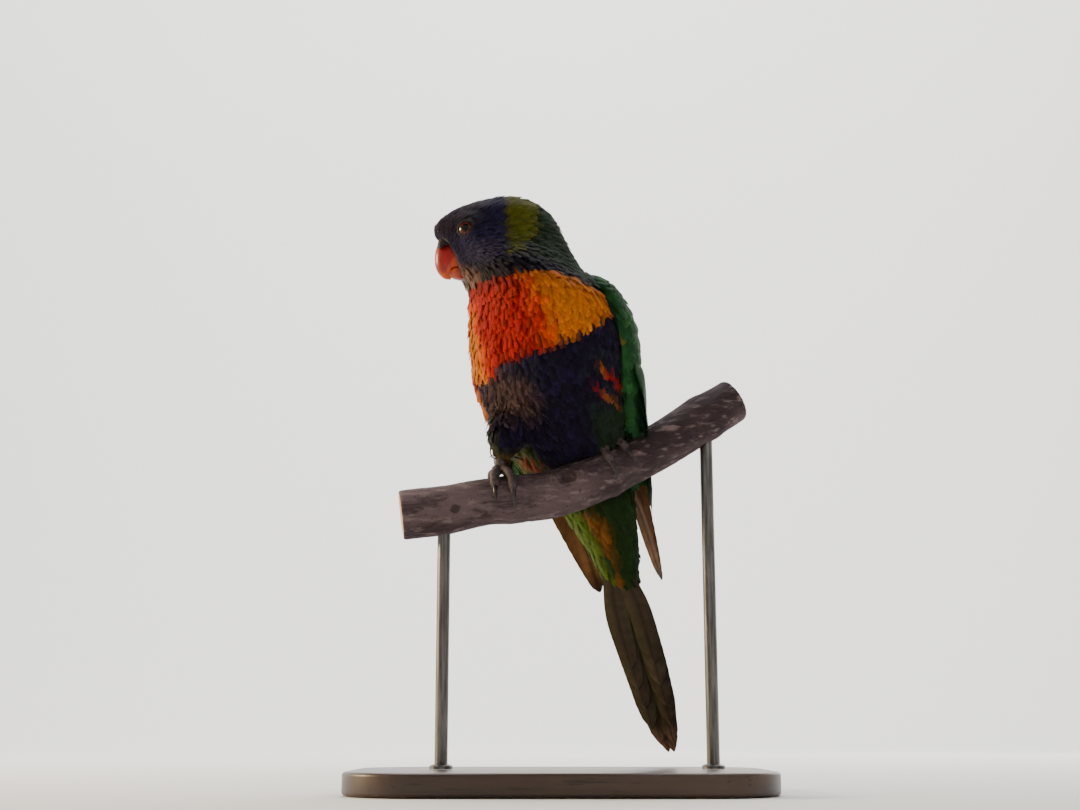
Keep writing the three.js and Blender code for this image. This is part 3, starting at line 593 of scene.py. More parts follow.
def blended(tree, share, a, b, how="MIX"):
    """Colour between two colours or colour outputs"""
    made = tree.nodes.new("ShaderNodeMix")
    made.data_type = "RGBA"
    made.blend_type = how
    factor, first, second = made.inputs["Factor"], made.inputs[6], made.inputs[7]
    for socket, value in ((factor, share), (first, a), (second, b)):
        if isinstance(value, bpy.types.NodeSocket):
            tree.links.new(value, socket)
        elif isinstance(value, (int, float)):
            socket.default_value = value
        else:
            socket.default_value = (*value[:3], 1)
    return made.outputs[2]


def ramp(tree, value, low, high):
    """Share from 0 to 1 as a value goes from low to high"""
    made = tree.nodes.new("ShaderNodeMapRange")
    made.interpolation_type = "SMOOTHSTEP"
    made.inputs["From Min"].default_value = low
    made.inputs["From Max"].default_value = high
    tree.links.new(value, made.inputs["Value"])
    return made.outputs["Result"]


def bump(tree, shader, height, strength, distance):
    made = node(tree, "ShaderNodeBump", Strength=strength, Distance=distance)
    tree.links.new(height, made.inputs["Height"])
    tree.links.new(made.outputs["Normal"], shader.inputs["Normal"])


def lacquer(shader, weight, roughness):
    """Clear coat over a material"""
    shader.inputs["Coat Weight"].default_value = weight
    shader.inputs["Coat Roughness"].default_value = roughness


def painted(tree):
    """Colour that was painted on the points"""
    return node(tree, "ShaderNodeAttribute", attribute_name="Tint").outputs["Color"]


def times(tree, a, b):
    return blended(tree, 1.0, a, b, "MULTIPLY")


def shaded(tree, colour, value, low, high, dark, light):
    """Colour times a shade that goes from dark to light as a value goes from low to high"""
    return times(tree, colour, blended(tree, ramp(tree, value, low, high), dark, light))


def grain(tree, scale, detail=3.0, stretch=None, coordinates="Object"):
    """Noise over the object, drawn out along an axis where stretch says so"""
    place = tree.nodes.new("ShaderNodeTexCoord")
    made = node(tree, "ShaderNodeTexNoise", Scale=scale, Detail=detail)
    source = place.outputs[coordinates]
    if stretch:
        mapping = node(tree, "ShaderNodeMapping", Scale=stretch)
        tree.links.new(source, mapping.inputs["Vector"])
        source = mapping.outputs["Vector"]
    tree.links.new(source, made.inputs["Vector"])
    return made.outputs["Fac"]


def plumage_material(name, barb, roughness=0.6, sheen=0.06, relief=0.35):
    """Painted feather colours, with fine barbs that slant from each shaft"""
    material, tree, shader = new_material(name, roughness, 0.08)
    place = node(tree, "ShaderNodeUVMap", uv_map="FeatherUV")
    parts = tree.nodes.new("ShaderNodeSeparateXYZ")
    tree.links.new(place.outputs["UV"], parts.inputs["Vector"])
    aside = arithmetic(tree, "ABSOLUTE", parts.outputs["X"])
    slanted = arithmetic(tree, "SUBTRACT", parts.outputs["Y"], arithmetic(tree, "MULTIPLY", aside, 1.1))
    uneven = grain(tree, 900, 2)
    phase = arithmetic(tree, "MULTIPLY_ADD", slanted, 2 * math.pi / barb, uneven)
    wave = arithmetic(tree, "SINE", arithmetic(tree, "MULTIPLY_ADD", uneven, 4.0, phase))
    share = arithmetic(tree, "MULTIPLY_ADD", wave, 0.5, 0.5)
    barbs = times(tree, painted(tree), blended(tree, share, (0.86, 0.86, 0.86), (1.1, 1.1, 1.1)))
    colour = shaded(tree, barbs, grain(tree, 260, 4), 0.3, 0.7, (0.86, 0.86, 0.88), (1.12, 1.12, 1.10))
    tree.links.new(colour, shader.inputs["Base Color"])
    shader.inputs["Sheen Weight"].default_value = sheen
    shader.inputs["Sheen Roughness"].default_value = 0.45
    bump(tree, shader, share, relief, 0.00015)
    return material


# Feathers

# Outlines of feathers: half width along the shaft, as a share of the widest
ROUND = [(0, 0.34), (0.2, 0.62), (0.45, 0.9), (0.66, 1), (0.8, 0.94), (0.89, 0.78), (0.95, 0.54), (1, 0.1)]
LANCE = [(0, 0.4), (0.15, 0.8), (0.35, 1), (0.6, 0.84), (0.8, 0.55), (0.93, 0.26), (1, 0.04)]
COVERT = [(0, 0.5), (0.2, 0.84), (0.5, 1), (0.76, 1), (0.88, 0.86), (0.95, 0.6), (1, 0.14)]
RECTRIX = [(0, 0.5), (0.08, 0.86), (0.3, 1), (0.6, 0.97), (0.8, 0.82), (0.91, 0.58), (0.975, 0.28), (1, 0.06)]
FLIGHT = [(0, 0.5), (0.08, 0.86), (0.3, 1), (0.7, 0.96), (0.85, 0.82), (0.94, 0.56), (0.985, 0.26), (1, 0.08)]


def feather_faces(rows, columns, under):
    """Faces of one feather: its upper side, its under side and its two ends"""
    upper = np.arange(rows * columns).reshape(rows, columns)
    inner = rows * columns + np.arange(rows * under).reshape(rows, under)
    lower = np.hstack([upper[:, :1], inner, upper[:, -1:]])
    sheets = []
    for sheet, order in ((upper, (0, 1, 2, 3)), (lower, (3, 2, 1, 0))):
        corners = (sheet[:-1, :-1], sheet[:-1, 1:], sheet[1:, 1:], sheet[1:, :-1])
        sheets.append(np.stack([corners[i] for i in order], -1).reshape(-1, 4))
    quads = np.vstack(sheets)
    root = np.concatenate([upper[0, ::-1], lower[0, 1:-1]])
    tip = np.concatenate([upper[-1], lower[-1, 1:-1][::-1]])
    loops = np.concatenate([quads.ravel(), root, tip])
    totals = np.concatenate([np.full(len(quads), 4), [len(root), len(tip)]])
    return loops, totals


def feathers(name, upper, lower, tints, vane_places, roots, slot, material, replaced=(), below=None):
    """One object of many closed feathers with colour, barb map and bake patches"""
    count, rows, columns = upper.shape[:3]
    under = lower.shape[2]
    loops, totals = feather_faces(rows, columns, under)
    each = rows * (columns + under)
    points = np.concatenate([upper.reshape(count, -1, 3), lower.reshape(count, -1, 3)], 1)
    all_loops = (loops[None, :] + each * np.arange(count)[:, None]).ravel()
    made = piece(name, points, all_loops, np.tile(totals, count), slot, replaced)

    def with_under(values, width, inner=None):
        if inner is None:
            inner = values[:, :, 1:1 + under]
        return np.concatenate([values.reshape(count, -1, width), inner.reshape(count, -1, width)], 1)

    dress(made, with_under(tints, 3, below), material)
    lay_map(made, "FeatherUV", with_under(vane_places, 2).reshape(-1, 2))
    across = np.linspace(-0.5, 0.5, columns)[None, None, :]
    down = np.linspace(-0.5, 0.5, rows)[None, :, None]
    patch = np.stack(np.broadcast_arrays(across, down), -1) * PATCH
    patches = roots[:, None, None, :] + np.broadcast_to(patch, (count, rows, columns, 2))
    lay_map(made, "OFBake", with_under(patches, 2).reshape(-1, 2))


def triangle_count(rows, columns, under):
    _, totals = feather_faces(rows, columns, under)
    return int(np.sum(totals - 2))


# A feather's middle line leaves the surface where that falls away by more than this
STRAY_SHARE = 0.35
STRAY_ROOM = 0.25


class Coat:
    """Surface that feathers grow on: finds nearest points, and spreads roots over it"""

    def __init__(self, source):
        mesh = source.data
        self.points = read(mesh.vertices, "co") / MM - [0, 0, PERCH_Z]
        mesh.calc_loop_triangles()
        self.corners = read(mesh.loop_triangles, "vertices", kind=np.int32)
        self.tree = BVHTree.FromPolygons(self.points.tolist(), self.corners.tolist())

    def spread(self, rng, wanted, spacing, keep):
        """Roots at least their own spacing apart, on the stretches that keep allows"""
        a, b, c = (self.points[self.corners[:, i]] for i in range(3))
        normals = np.cross(b - a, c - a)
        areas = np.linalg.norm(normals, axis=1)
        chosen = rng.choice(len(areas), wanted, p=areas / areas.sum())
        u, v = rng.random((2, wanted))
        flip = u + v > 1
        u, v = np.where(flip, 1 - u, u)[:, None], np.where(flip, 1 - v, v)[:, None]
        points = a[chosen] * (1 - u - v) + b[chosen] * u + c[chosen] * v
        outward = unit(normals[chosen])
        allowed = keep(points, outward)
        points, outward = points[allowed], outward[allowed]
        reach = spacing(points)
        index = KDTree(len(points))
        for i, point in enumerate(points):
            index.insert(point, i)
        index.balance()
        free = np.ones(len(points), bool)
        kept = []
        for i in range(len(points)):
            if free[i]:
                kept.append(i)
                for _, j, _ in index.find_range(points[i], reach[i]):
                    free[j] = False
        return points[kept], outward[kept]

    def trace(self, roots, outward, directions, lengths, places):
        """Middle lines over the surface from the roots, and normals along them"""
        rows = len(places)
        lines = np.empty((len(roots), rows, 3))
        normals = np.empty_like(lines)
        nearest = self.tree.find_nearest
        for i, (root, normal, ahead, length) in enumerate(zip(roots, outward, directions, lengths)):
            point, normal, ahead = Vector(root), Vector(normal), Vector(ahead)
            lines[i, 0], normals[i, 0] = point, normal
            for j in range(1, rows):
                step = length * (places[j] - places[j - 1])
                target = point + ahead * step
                found, face_normal, _, distance = nearest(target)
                if distance < STRAY_SHARE * step + STRAY_ROOM:
                    point = found
                    normal = (normal + face_normal * 1.4).normalized()
                else:
                    point = target
                ahead = (ahead - normal * ahead.dot(normal)).normalized()
                lines[i, j], normals[i, j] = point, normal
        return lines, normals


def grow_feathers(coat, roots, outward, shape, tint, rows, columns, rng):
    """Grids of feathers over a coat surface. shape gives the sizes and tint the colours."""
    count = len(roots)
    size = {key: np.broadcast_to(value, count)[:, None] for key, value in shape.items() if key != "lie"}
    places = 1 - (1 - np.linspace(0, 1, rows)) ** 1.3
    ahead = shape["lie"](roots)
    yaw = np.radians(rng.normal(0, 1, count) * shape["yaw"])
    ahead = unit(ahead - outward * np.sum(ahead * outward, -1, keepdims=True))
    side = np.cross(ahead, outward)
    ahead = ahead * np.cos(yaw)[:, None] + side * np.sin(yaw)[:, None]
    lines, normals = coat.trace(roots, outward, ahead, shape["length"], places)
    run = unit(np.gradient(lines, axis=1))
    side = unit(np.cross(run, normals))
    normals = unit(np.cross(side, run))
    outline = mix(along(LANCE, places)[None], along(ROUND, places)[None], size["roundness"])
    half = size["half"] * outline
    level = size["lift"] * places[None] ** 0.75 - 0.35 * (1 - places[None]) ** 2
    level = level + size["curl"] * places[None] ** 4
    u = np.linspace(-1, 1, columns)
    edge = np.isclose(np.abs(u), 1)
    ragged = np.where(np.arange(rows) % 2 == 1, 1.0, 0.0) * smooth((places - 0.25) / 0.3)
    cut = size["fray"] * ragged[None] * rng.uniform(0.4, 1, (count, rows))
    width = u[None, None] * (1 - cut[..., None] * edge[None, None])
    aside = half[..., None] * width
    slant = 0.75 * np.abs(aside) * smooth((1.02 - places) * 6)[None, :, None]
    crown = size["crown"][..., None] * size["half"][..., None] * (1 - u[None, None] ** 2)
    crown = crown * outline[..., None]
    droop = aside ** 2 / (2 * size["bend"][..., None])
    height = level[..., None] + crown - droop + size["roll"][..., None] * aside
    grid = lines[:, :, None] + side[:, :, None] * aside[..., None]
    grid = grid + run[:, :, None] * slant[..., None] + normals[:, :, None] * height[..., None]
    shown = lines[:, int(rows * 0.72)]
    tints = tint(shown, places, u, rng)
    travel = places[None, :, None] * size["length"][..., None] + slant
    vane_places = np.stack(np.broadcast_arrays(aside, travel), -1) * 0.1
    return grid, tints, vane_places, shown


# Markings

# Upper and lower border of the breast: angle from the breast line, and height
BREAST_TOP = [
    (-180, 78), (-100, 82), (-78, 86), (-67, 92), (-30, 92.5), (0, 91.5), (45, 92.2),
    (64, 93.6), (74, 92.6), (84, 90), (97, 85), (110, 81), (180, 78),
]
BREAST_FOOT = [
    (-180, 84), (-115, 84), (-95, 76), (-75, 64), (-45, 50), (-26, 50), (-14, 51.5), (-4, 54.5),
    (10, 56.5), (25, 58.4), (40, 60.4), (53, 63), (66, 66.2), (83, 72), (99, 79), (115, 84), (180, 84),
]


def ruffled_share(angle, z, uneven=0.0):
    """1 among the ruffled feathers over the right thigh, 0 around them"""
    return smooth(1.35 - np.hypot((angle + 12) / 26, (z - 42) / 11) + uneven)


class Markings:
    """Colours laid over each other on points of the plumage, by angle round the body and height"""

    def __init__(self, points):
        self.z = points[:, 2]
        self.angle = body_angle(points)
        self.forward = head_places(points)[0]
        self.soft = wander(points, 0.09, 1)
        self.fine = wander(points, 0.35, 2)
        self.main = None

    def plain(self, colour):
        return np.tile(rgb(colour), (len(self.z), 1))

    def over(self, base, colour, share):
        return mix(base, self.plain(colour), np.clip(share, 0, 1)[:, None])

    def lay(self, colour, share):
        self.main = self.over(self.main, colour, share)

    def read(self):
        return self.z, self.angle, self.soft, self.fine


def mark_belly(marks, c):
    """Violet-blue belly, with streaks of red and yellow between it and the wings"""
    z, angle, soft, fine = marks.read()
    marks.main = marks.plain(c.belly)
    marks.lay(c.belly_light, 0.55 * smooth(fine * 1.6 + 0.1))
    flank = past(angle, 50, 12) * short_of(z - 3 * soft, 64, 8) * past(z, 33, 6)
    first = np.abs((angle - 72) * 0.26 + z - 52 + 1.5 * soft) + 3 * short_of(angle, 72, 5)
    second = np.abs((angle - 61) * 0.24 + z - 45 + 1.5 * soft) + 3 * short_of(angle, 61, 5)
    marks.lay(c.flank_green, flank * smooth(fine * 2 + 0.1) * 0.4)
    marks.lay(c.breast_yellow, flank * short_of(first, 3.6, 2.4) * short_of(angle, 79, 8) * 0.5)
    marks.lay(c.breast_red, flank * short_of(first, 3.0, 2.2) * past(angle, 72, 6) * 0.75)
    marks.lay(c.breast_red, flank * short_of(second, 2.0, 2) * short_of(angle, 76, 8) * 0.45)
    marks.lay(c.breast_yellow, flank * short_of(second, 2.2, 2) * past(angle, 68, 6) * 0.35)
    # The other flank is marked alike
    far = past(-angle, 40, 12) * short_of(z - 3 * soft, 60, 8)
    marks.lay(c.breast_yellow, far * smooth(fine * 1.6 + 0.9) * 0.75)
    marks.lay(c.breast_red, far * smooth(soft * 2.4 + 0.4) * past(z, 34, 6) * 0.65)
    marks.lay(c.undertail, far * short_of(z - 3 * soft, 36, 8) * 0.9)
    # Ruffled feathers and green over the right thigh
    marks.lay(c.ruffle, ruffled_share(angle, z, 0.35 * fine) * 0.9)
    outer = past(5 * fine - angle - 0.9 * (z - 16), 10, 10) * short_of(z, 36, 8)
    marks.lay(mix(rgb(c.flank_green), rgb(c.undertail), 0.45), outer * 0.8)
    # Lower flanks and thighs
    low = short_of(z - 4 * soft, 40, 7) * past(np.abs(angle - 6), 40, 14)
    marks.lay(c.flank_green, low * 0.65 * (1 - far))


def mark_vent(marks, c):
    """Vent and root of the tail's underside, and the green back"""
    z, angle, soft, fine = marks.read()
    vent = short_of(z - 3 * fine, 9, 8)
    marks.lay(c.flank_green, vent)
    marks.lay(c.undertail, vent * past(8 * soft - angle, 6, 18))
    orange = vent * smooth(1.2 - np.abs(angle - 8) / 26) * smooth(soft * 2 + 0.75)
    marks.lay(c.undertail_orange, orange * 0.75)
    patch = smooth(1.4 - np.hypot((angle + 40) / 26, (z - 13) / 7))
    marks.lay(c.breast_red, patch * smooth(fine * 2 + 0.8) * 0.5)
    back = past(np.abs(angle) + 4 * soft, 104, 8)
    marks.lay(c.wing_green, back * short_of(z, 104, 8))


def mark_breast(marks, c):
    """Red breast with yellow sides and dark bars, and painted shade along its borders and on its right side.
    Gives its share and its upper border.
    """
    z, angle, soft, fine = marks.read()
    top = along(BREAST_TOP, angle) + 1.6 * soft + 1.2 * fine
    foot = along(BREAST_FOOT, angle) + 2.2 * soft + 1.5 * fine
    breast = smooth((top - z) / 1.8 + 0.5) * smooth((z - foot) / 2.4 + 0.5)
    breast = breast * short_of(np.abs(angle - 4), 112, 6)
    left_side = past(angle + 7 * soft + 8 * fine, 16, 42)
    right_side = past(6 * soft + 4 * fine - angle, 14, 22) * smooth((86 - z) / 12 + 0.35)
    sides = np.maximum(left_side, right_side)
    warm = marks.plain(c.breast_red)
    warm = marks.over(warm, c.breast_orange, sides * 1.5 + 0.16 * smooth(fine * 2))
    warm = marks.over(warm, c.breast_yellow, smooth(sides * 1.5 - 0.35 + 0.35 * fine))
    warm = marks.over(warm, c.breast_dark, 0.4 * smooth(fine * 2.2 - 0.2) * (1 - 0.85 * sides))
    # Painted shade: dark red along the upper border below the head, and along the lower one on the left
    top_border_shade = smooth((z - top + 9 + 3 * fine) / 9)
    foot_border_shade = smooth((foot + 6 - z + 3 * fine) / 6) * past(angle, -18, 14)
    border_shade = np.maximum(top_border_shade, foot_border_shade) * past(angle, -30, 14)
    warm = marks.over(warm, c.breast_dark, 0.7 * border_shade * (1 - 0.5 * sides))
    # Painted shade: the right side of the breast, which faces the key light, is darkened
    warm = warm * (1 - 0.22 * right_side[:, None])
    marks.main = mix(marks.main, warm, breast[:, None])
    return breast, top


def mark_head(marks, c, top):
    """Dark hood, violet face, collar, nape, and a painted highlight on the chin. Gives the share of the
    cheek's pale shafts.
    """
    z, angle, soft, fine = marks.read()
    forward = marks.forward
    above = smooth((z - top) / 1.8 + 0.5)
    marks.lay(c.hood, above)
    marks.lay(c.nape_green, above * past(np.abs(angle) + 5 * soft, 84, 12) * short_of(z, 118, 8))
    head = past(z, 97, 8)
    front = past(forward + 2 * fine, -12, 7)
    marks.lay(c.head_violet, head * front)
    brow = head * past(forward, 2, 12) * past(z, 112, 8)
    marks.lay(c.brow, brow * 0.85)
    marks.lay(c.nape_green, head * (1 - front) * past(-forward, 10, 8))
    # Yellow-green collar behind the cheek, over the back of the head
    fallen = short_of(z, 117, 12)
    middle = -8.6 + 2.8 * fallen + 1.5 * soft + 1.6 * fine
    half = mix(6.6, 3.8, fallen)
    collar = smooth((half - np.abs(forward - middle)) / 4.4 + 0.5) * past(z + 2 * fine, 100, 5)
    marks.lay(c.collar, collar)
    # Painted highlight: lighter chin and throat on the bird's right side, which faces the key light
    chin = smooth(1.5 - np.hypot((angle + 22) / 18, (z - 96.5) / 6.5)) * above
    marks.lay(c.throat, chin * (0.65 + 0.35 * smooth(fine * 2 + 0.5)))
    return 0.6 * head * past(forward, -9, 6) * (1 - collar) * (1 - 0.75 * brow) * (1 - 0.6 * chin)


def plumage_colours(points):
    """Main, root and streak colours of the feathers that show at points, and the streaks' share"""
    c = colours()
    marks = Markings(points)
    mark_belly(marks, c)
    mark_vent(marks, c)
    breast, top = mark_breast(marks, c)
    streaks = mark_head(marks, c, top)
    roots = mix(marks.main * 0.42, marks.plain(c.breast_yellow) * 0.6, (0.7 * breast)[:, None])
    return marks.main, roots, marks.plain(c.head_streak), streaks


def plumage_tints(shown, places, u, rng):
    """Colours of the points of each feather, from its root to its tip and across it"""
    main, roots, streak, share = plumage_colours(shown)
    count = len(shown)
    light = np.clip(1 + 0.1 * rng.normal(0, 1, count), 0.7, 1.4)[:, None]
    warmth = 1 + 0.03 * rng.normal(0, 1, (count, 3))
    main = main * light * warmth
    down = smooth(places * 2.4)[None, :, None, None]
    tints = mix(roots[:, None, None], main[:, None, None], down)
    fringe = past(places, 0.7, 0.3)[None, :, None, None] * 0.16
    tints = tints * (1 + fringe)
    middle = np.clip(1 - np.abs(u) * 2.2, 0, 1)[None, None, :, None]
    amount = share[:, None, None, None] * middle * 0.8 * smooth((places - 0.2) * 3)[None, :, None, None]
    dimmed = tints * (1 - 0.35 * share[:, None, None, None] * (1 - middle))
    return np.clip(mix(dimmed, streak[:, None, None], amount), 0, 1)


# Body

def coat_depth(points):
    """How far the skin lies inside the plumage's outline"""
    forward = head_places(points)[0]
    head = past(points[:, 2], 92, 14)
    face = head * past(forward, 4, 12)
    return mix(mix(2.7, 1.7, head), 0.8, face)


def face_swell(points):
    """How far the plumage swells forward over the root of the bill"""
    forward, side = head_places(points)
    return along(FACE_SWELL, points[:, 2]) * past(forward, 8, 14) * short_of(np.abs(side), 13.5, 7)


def eye_centres():
    return [head_point(EYE_FORWARD, sign * EYE_SIDE, EYE_Z) for sign in (1, -1)]


def orbit_swell(points):
    """How far the skin stands out round the eyes"""
    gap = np.min([np.linalg.norm(points - eye, axis=1) for eye in eye_centres()], 0)
    return ORBIT_SWELL * np.exp(-(((gap - EYE_RADIUS) / 3.5) ** 2))


def face_centre():
    """Place at the root of the bill that the feathers of the head lie away from"""
    return head_point(21.0, 0.0, 110.0)


def lie_of_plumage(points):
    """Direction in which feathers lie: back from the bill on the head, and down the body"""
    z = points[..., 2]
    away = unit(points - face_centre())
    down = -BODY_LINE.run(body_place(z))
    return unit(mix(down, away, past(z, 90, 18)[..., None]))


def leg_rings(side, around=28):
    stations = list(LEG_LINE[side])
    end = ankle(side) - np.array([0, 0, 1.0])
    stations.append((*end, ANKLE_RADIUS))
    line = Line([s[:3] for s in stations])
    radius = Line([(s[3], i, 0) for i, s in enumerate(stations)])
    places = np.linspace(0, 1, 20)
    return rod_rings(line.at(places), radius.at(places)[:, 0], around)


def skin_mesh(name):
    """Body and thighs as one closed surface, drawn in by the depth of the plumage"""
    sides, rows = 72, 110
    angles = np.linspace(0, 360, sides, endpoint=False)
    places = np.linspace(0, 1, rows)
    body = body_point(*np.meshgrid(places, angles, indexing="ij"))
    parts = [tube(body)] + [tube(leg_rings(side)) for side in LEG_LINE]
    made = piece(name, *joined(parts), "plumage", ("torso", "neck", "head", "leg_left", "leg_right"))
    remesh = made.modifiers.new("Remesh", "REMESH")
    remesh.mode = "VOXEL"
    remesh.voxel_size = settings().skin_cell
    even = made.modifiers.new("Even", "SMOOTH")
    even.iterations = 6
    even.factor = 0.5
    shaped = bpy.data.meshes.new_from_object(made.evaluated_get(bpy.context.evaluated_depsgraph_get()))
    made.modifiers.clear()
    made.data = shaped
    local = read(shaped.vertices, "co") / MM - [0, 0, PERCH_Z]
    inset = (coat_depth(local) - orbit_swell(local))[:, None] * read(shaped.vertices, "normal")
    local = local - inset + face_swell(local)[:, None] * HEAD_AHEAD
    shaped.vertices.foreach_set("co", ((local + [0, 0, PERCH_Z]) * MM).astype(np.float32).ravel())
    shaped.polygons.foreach_set("use_smooth", np.ones(len(shaped.polygons), bool))
    shaped.update()
    return made, local


def build_skin():
    made, local = skin_mesh("skin")
    material, tree, shader = new_material("skin_down", 0.8, 0.2)
    fluff = grain(tree, 700, 4)
    colour = shaded(tree, painted(tree), fluff, 0.3, 0.7, (0.6, 0.6, 0.6), (1.1, 1.1, 1.1))
    tree.links.new(colour, shader.inputs["Base Color"])
    shader.inputs["Sheen Weight"].default_value = 0.3
    bump(tree, shader, fluff, 0.6, 0.0006)
    made.data.materials.clear()
    # Painted shade: the skin under the feathers takes the plumage's colours at half brightness, so the gaps
    # between feathers read dark
    dress(made, plumage_colours(local)[0] * 0.5, material)


def unwrap(points):
    """Place on the bake map of points of the skin: angle round the body and height along it"""
    angle = body_angle(points)
    return np.stack([0.01 + 0.78 * (angle + 180) / 360, 0.01 + 0.98 * body_place(points[:, 2])], -1)


# Feathers of each region: length, half width and spacing
REGION_SIZES = {
    "back": (9.2, 1.8, 1.5),
    "front": (8.2, 1.3, 1.14),
    "head": (7.0, 1.1, 1.2),
    "cheek": (4.8, 0.72, 0.94),
    "face": (2.2, 0.42, 0.56),
    "thigh": (9.5, 1.5, 1.5),
}


def region_shares(points):
    """How much points belong to each region of the plumage, from 0 to 1"""
    z = points[:, 2]
    angle = body_angle(points)
    head = past(z, 94, 12)
    from_bill = np.linalg.norm(points - face_centre(), axis=1)
    return {
        "front": short_of(np.abs(angle), 106, 8) * past(z, -6, 10),
        "head": head,
        "cheek": past(head_places(points)[0], -8, 8) * head,
        "face": short_of(from_bill, 17, 9),
        "ruffled": ruffled_share(angle, z),
    }


def feather_sizes(points, shares):
    """Length, half width and spacing of feathers that are rooted at points"""
    z = points[:, 2]
    sizes = np.array(REGION_SIZES["back"])[:, None]
    for region in ("front", "head", "cheek", "face"):
        sizes = mix(sizes, np.array(REGION_SIZES[region])[:, None], shares[region])
    sizes[0] += 2.5 * short_of(z, 50, 20) * (1 - shares["head"]) + 5 * short_of(z, 4, 24)
    return mix(sizes, np.array(REGION_SIZES["thigh"])[:, None], near_leg(points))


def near_leg(points):
    """1 on the thighs below the flanks, 0 on the body"""
    share = np.zeros(len(points))
    for side in LEG_LINE:
        knee = np.array(LEG_LINE[side][2][:3], float)
        foot = ankle(side)
        run = unit(foot - knee)
        reach = np.clip((points - knee) @ run, 0, np.linalg.norm(foot - knee))
        out = np.linalg.norm(points - knee - reach[:, None] * run, axis=1)
        share = np.maximum(share, short_of(out, 11.5, 2.5) * short_of(points[:, 2], knee[2] + 2, 8))
    return share


def covered_by_wing(points, outward, trees):
    hidden = np.zeros(len(points), bool)
    for i, (point, normal) in enumerate(zip(points, outward)):
        start, ray = Vector(point), Vector(normal)
        hidden[i] = any(tree.ray_cast(start, ray, WING_COVERS)[0] is not None for tree in trees)
    return hidden


def in_bill(points, outward, trees):
    """Which points lie inside the bill or cere, or close to them"""
    inside = np.zeros(len(points), bool)
    for i in np.nonzero(head_places(points)[0] > BILL_FROM)[0]:
        point, way = Vector(points[i]), Vector(outward[i])
        for tree in trees:
            leaving = tree.ray_cast(point, way)[1]
            inside[i] |= leaving is not None and leaving.dot(way) > 0
            inside[i] |= tree.find_nearest(point, ROOM_TO_BILL)[0] is not None
    return inside


def clear_of_eyes(points):
    clear = np.ones(len(points), bool)
    for eye in eye_centres():
        gap = np.linalg.norm(points - eye, axis=1)
        behind = np.sum((points - eye) * HEAD_AHEAD, -1) < -1.5
        clear &= gap > EYE_RADIUS + np.where(behind, ROOM_BEHIND_EYE, ROOM_TO_EYE)
    return clear


def node_tree_of(name):
    """Search tree over the triangles of a solid, in millimetres from the perch"""
    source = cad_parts[name]
    points = [(v.co / MM - Vector((0, 0, PERCH_Z))) for v in source.data.vertices]
    return BVHTree.FromPolygons(points, [p.vertices[:] for p in source.data.polygons])


# Heights and angle at which the plumage is parted into regions
HEAD_FROM = 97
NECK_FROM = 82
BREAST_FROM = 52
BACK_FROM = 100
PLUMAGE_PARTS = {
    "head": lambda z, a: z > HEAD_FROM,
    "neck": lambda z, a: (z > NECK_FROM) & (z <= HEAD_FROM),
    "breast": lambda z, a: (z > BREAST_FROM) & (z <= NECK_FROM) & (np.abs(a) < BACK_FROM),
    "belly": lambda z, a: (z <= BREAST_FROM) & (np.abs(a) < BACK_FROM),
    "back": lambda z, a: (z <= NECK_FROM) & (np.abs(a) >= BACK_FROM),
}

# Room that roots keep to the branch, the eyes and the bill, and feathers to the branch
ROOM_TO_PERCH = 1.2
ROOM_TO_EYE = 0.4
ROOM_BEHIND_EYE = -0.3
ROOM_TO_BILL = 0.5
TIP_ROOM = 0.4
MIDDLE_ROOM = 0.2
# How far ahead of the head's middle line the bill can hide a root
BILL_FROM = 12
# Distance at which a wing over a root still covers it
WING_COVERS = 9.0
# Lowest roots, lowest ones on the body's end face, and lowest tips
LOWEST_ROOT = -31
LOWEST_ON_END = -20
LOWEST_TIP = -43.5


def build_plumage():
    """All body feathers: roots spread over the skin, one object for each region"""
    rng = np.random.default_rng(7)
    coat = Coat(bpy.data.objects["skin"])
    wings = [node_tree_of(name) for name in ("wing_left", "wing_right")]
    bill = [node_tree_of(name) for name in ("bill_upper", "cere", "bill_lower")]

    def keep(points, outward):
        z = points[:, 2]
        rising = np.sum(outward * BODY_LINE.run(body_place(z)), -1)
        clear = (z > LOWEST_ROOT) & ((z > LOWEST_ON_END) | (rising > -0.5))
        clear &= (perch_clearance(points) > ROOM_TO_PERCH) & clear_of_eyes(points)
        return clear & ~in_bill(points, outward, bill)

    def spacing(points):
        return feather_sizes(points, region_shares(points))[2]

    roots, outward = coat.spread(rng, 260000, spacing, keep)
    shown = ~covered_by_wing(roots, outward, wings)
    roots, outward = roots[shown], outward[shown]
    z = roots[:, 2]
    angle = body_angle(roots)
    material = plumage_material("plumage", 0.032)
    for name, belongs in PLUMAGE_PARTS.items():
        chosen = belongs(z, angle)
        rows, columns = (14, 5) if name == "back" else (12, 3)
        grid, tints, vane_places, places = body_feathers(
            coat, roots[chosen], outward[chosen], rows, columns, np.random.default_rng(len(name) * 31)
        )
        clear = perch_clearance(grid[:, -1].mean(1)) > TIP_ROOM
        clear &= perch_clearance(grid[:, rows // 2].mean(1)) > MIDDLE_ROOM
        clear &= grid[:, -1, :, 2].mean(1) > LOWEST_TIP
        patches = unwrap(places[clear])
        finish_coat(f"plumage_{name}", grid[clear], tints[clear], vane_places[clear], patches, material)


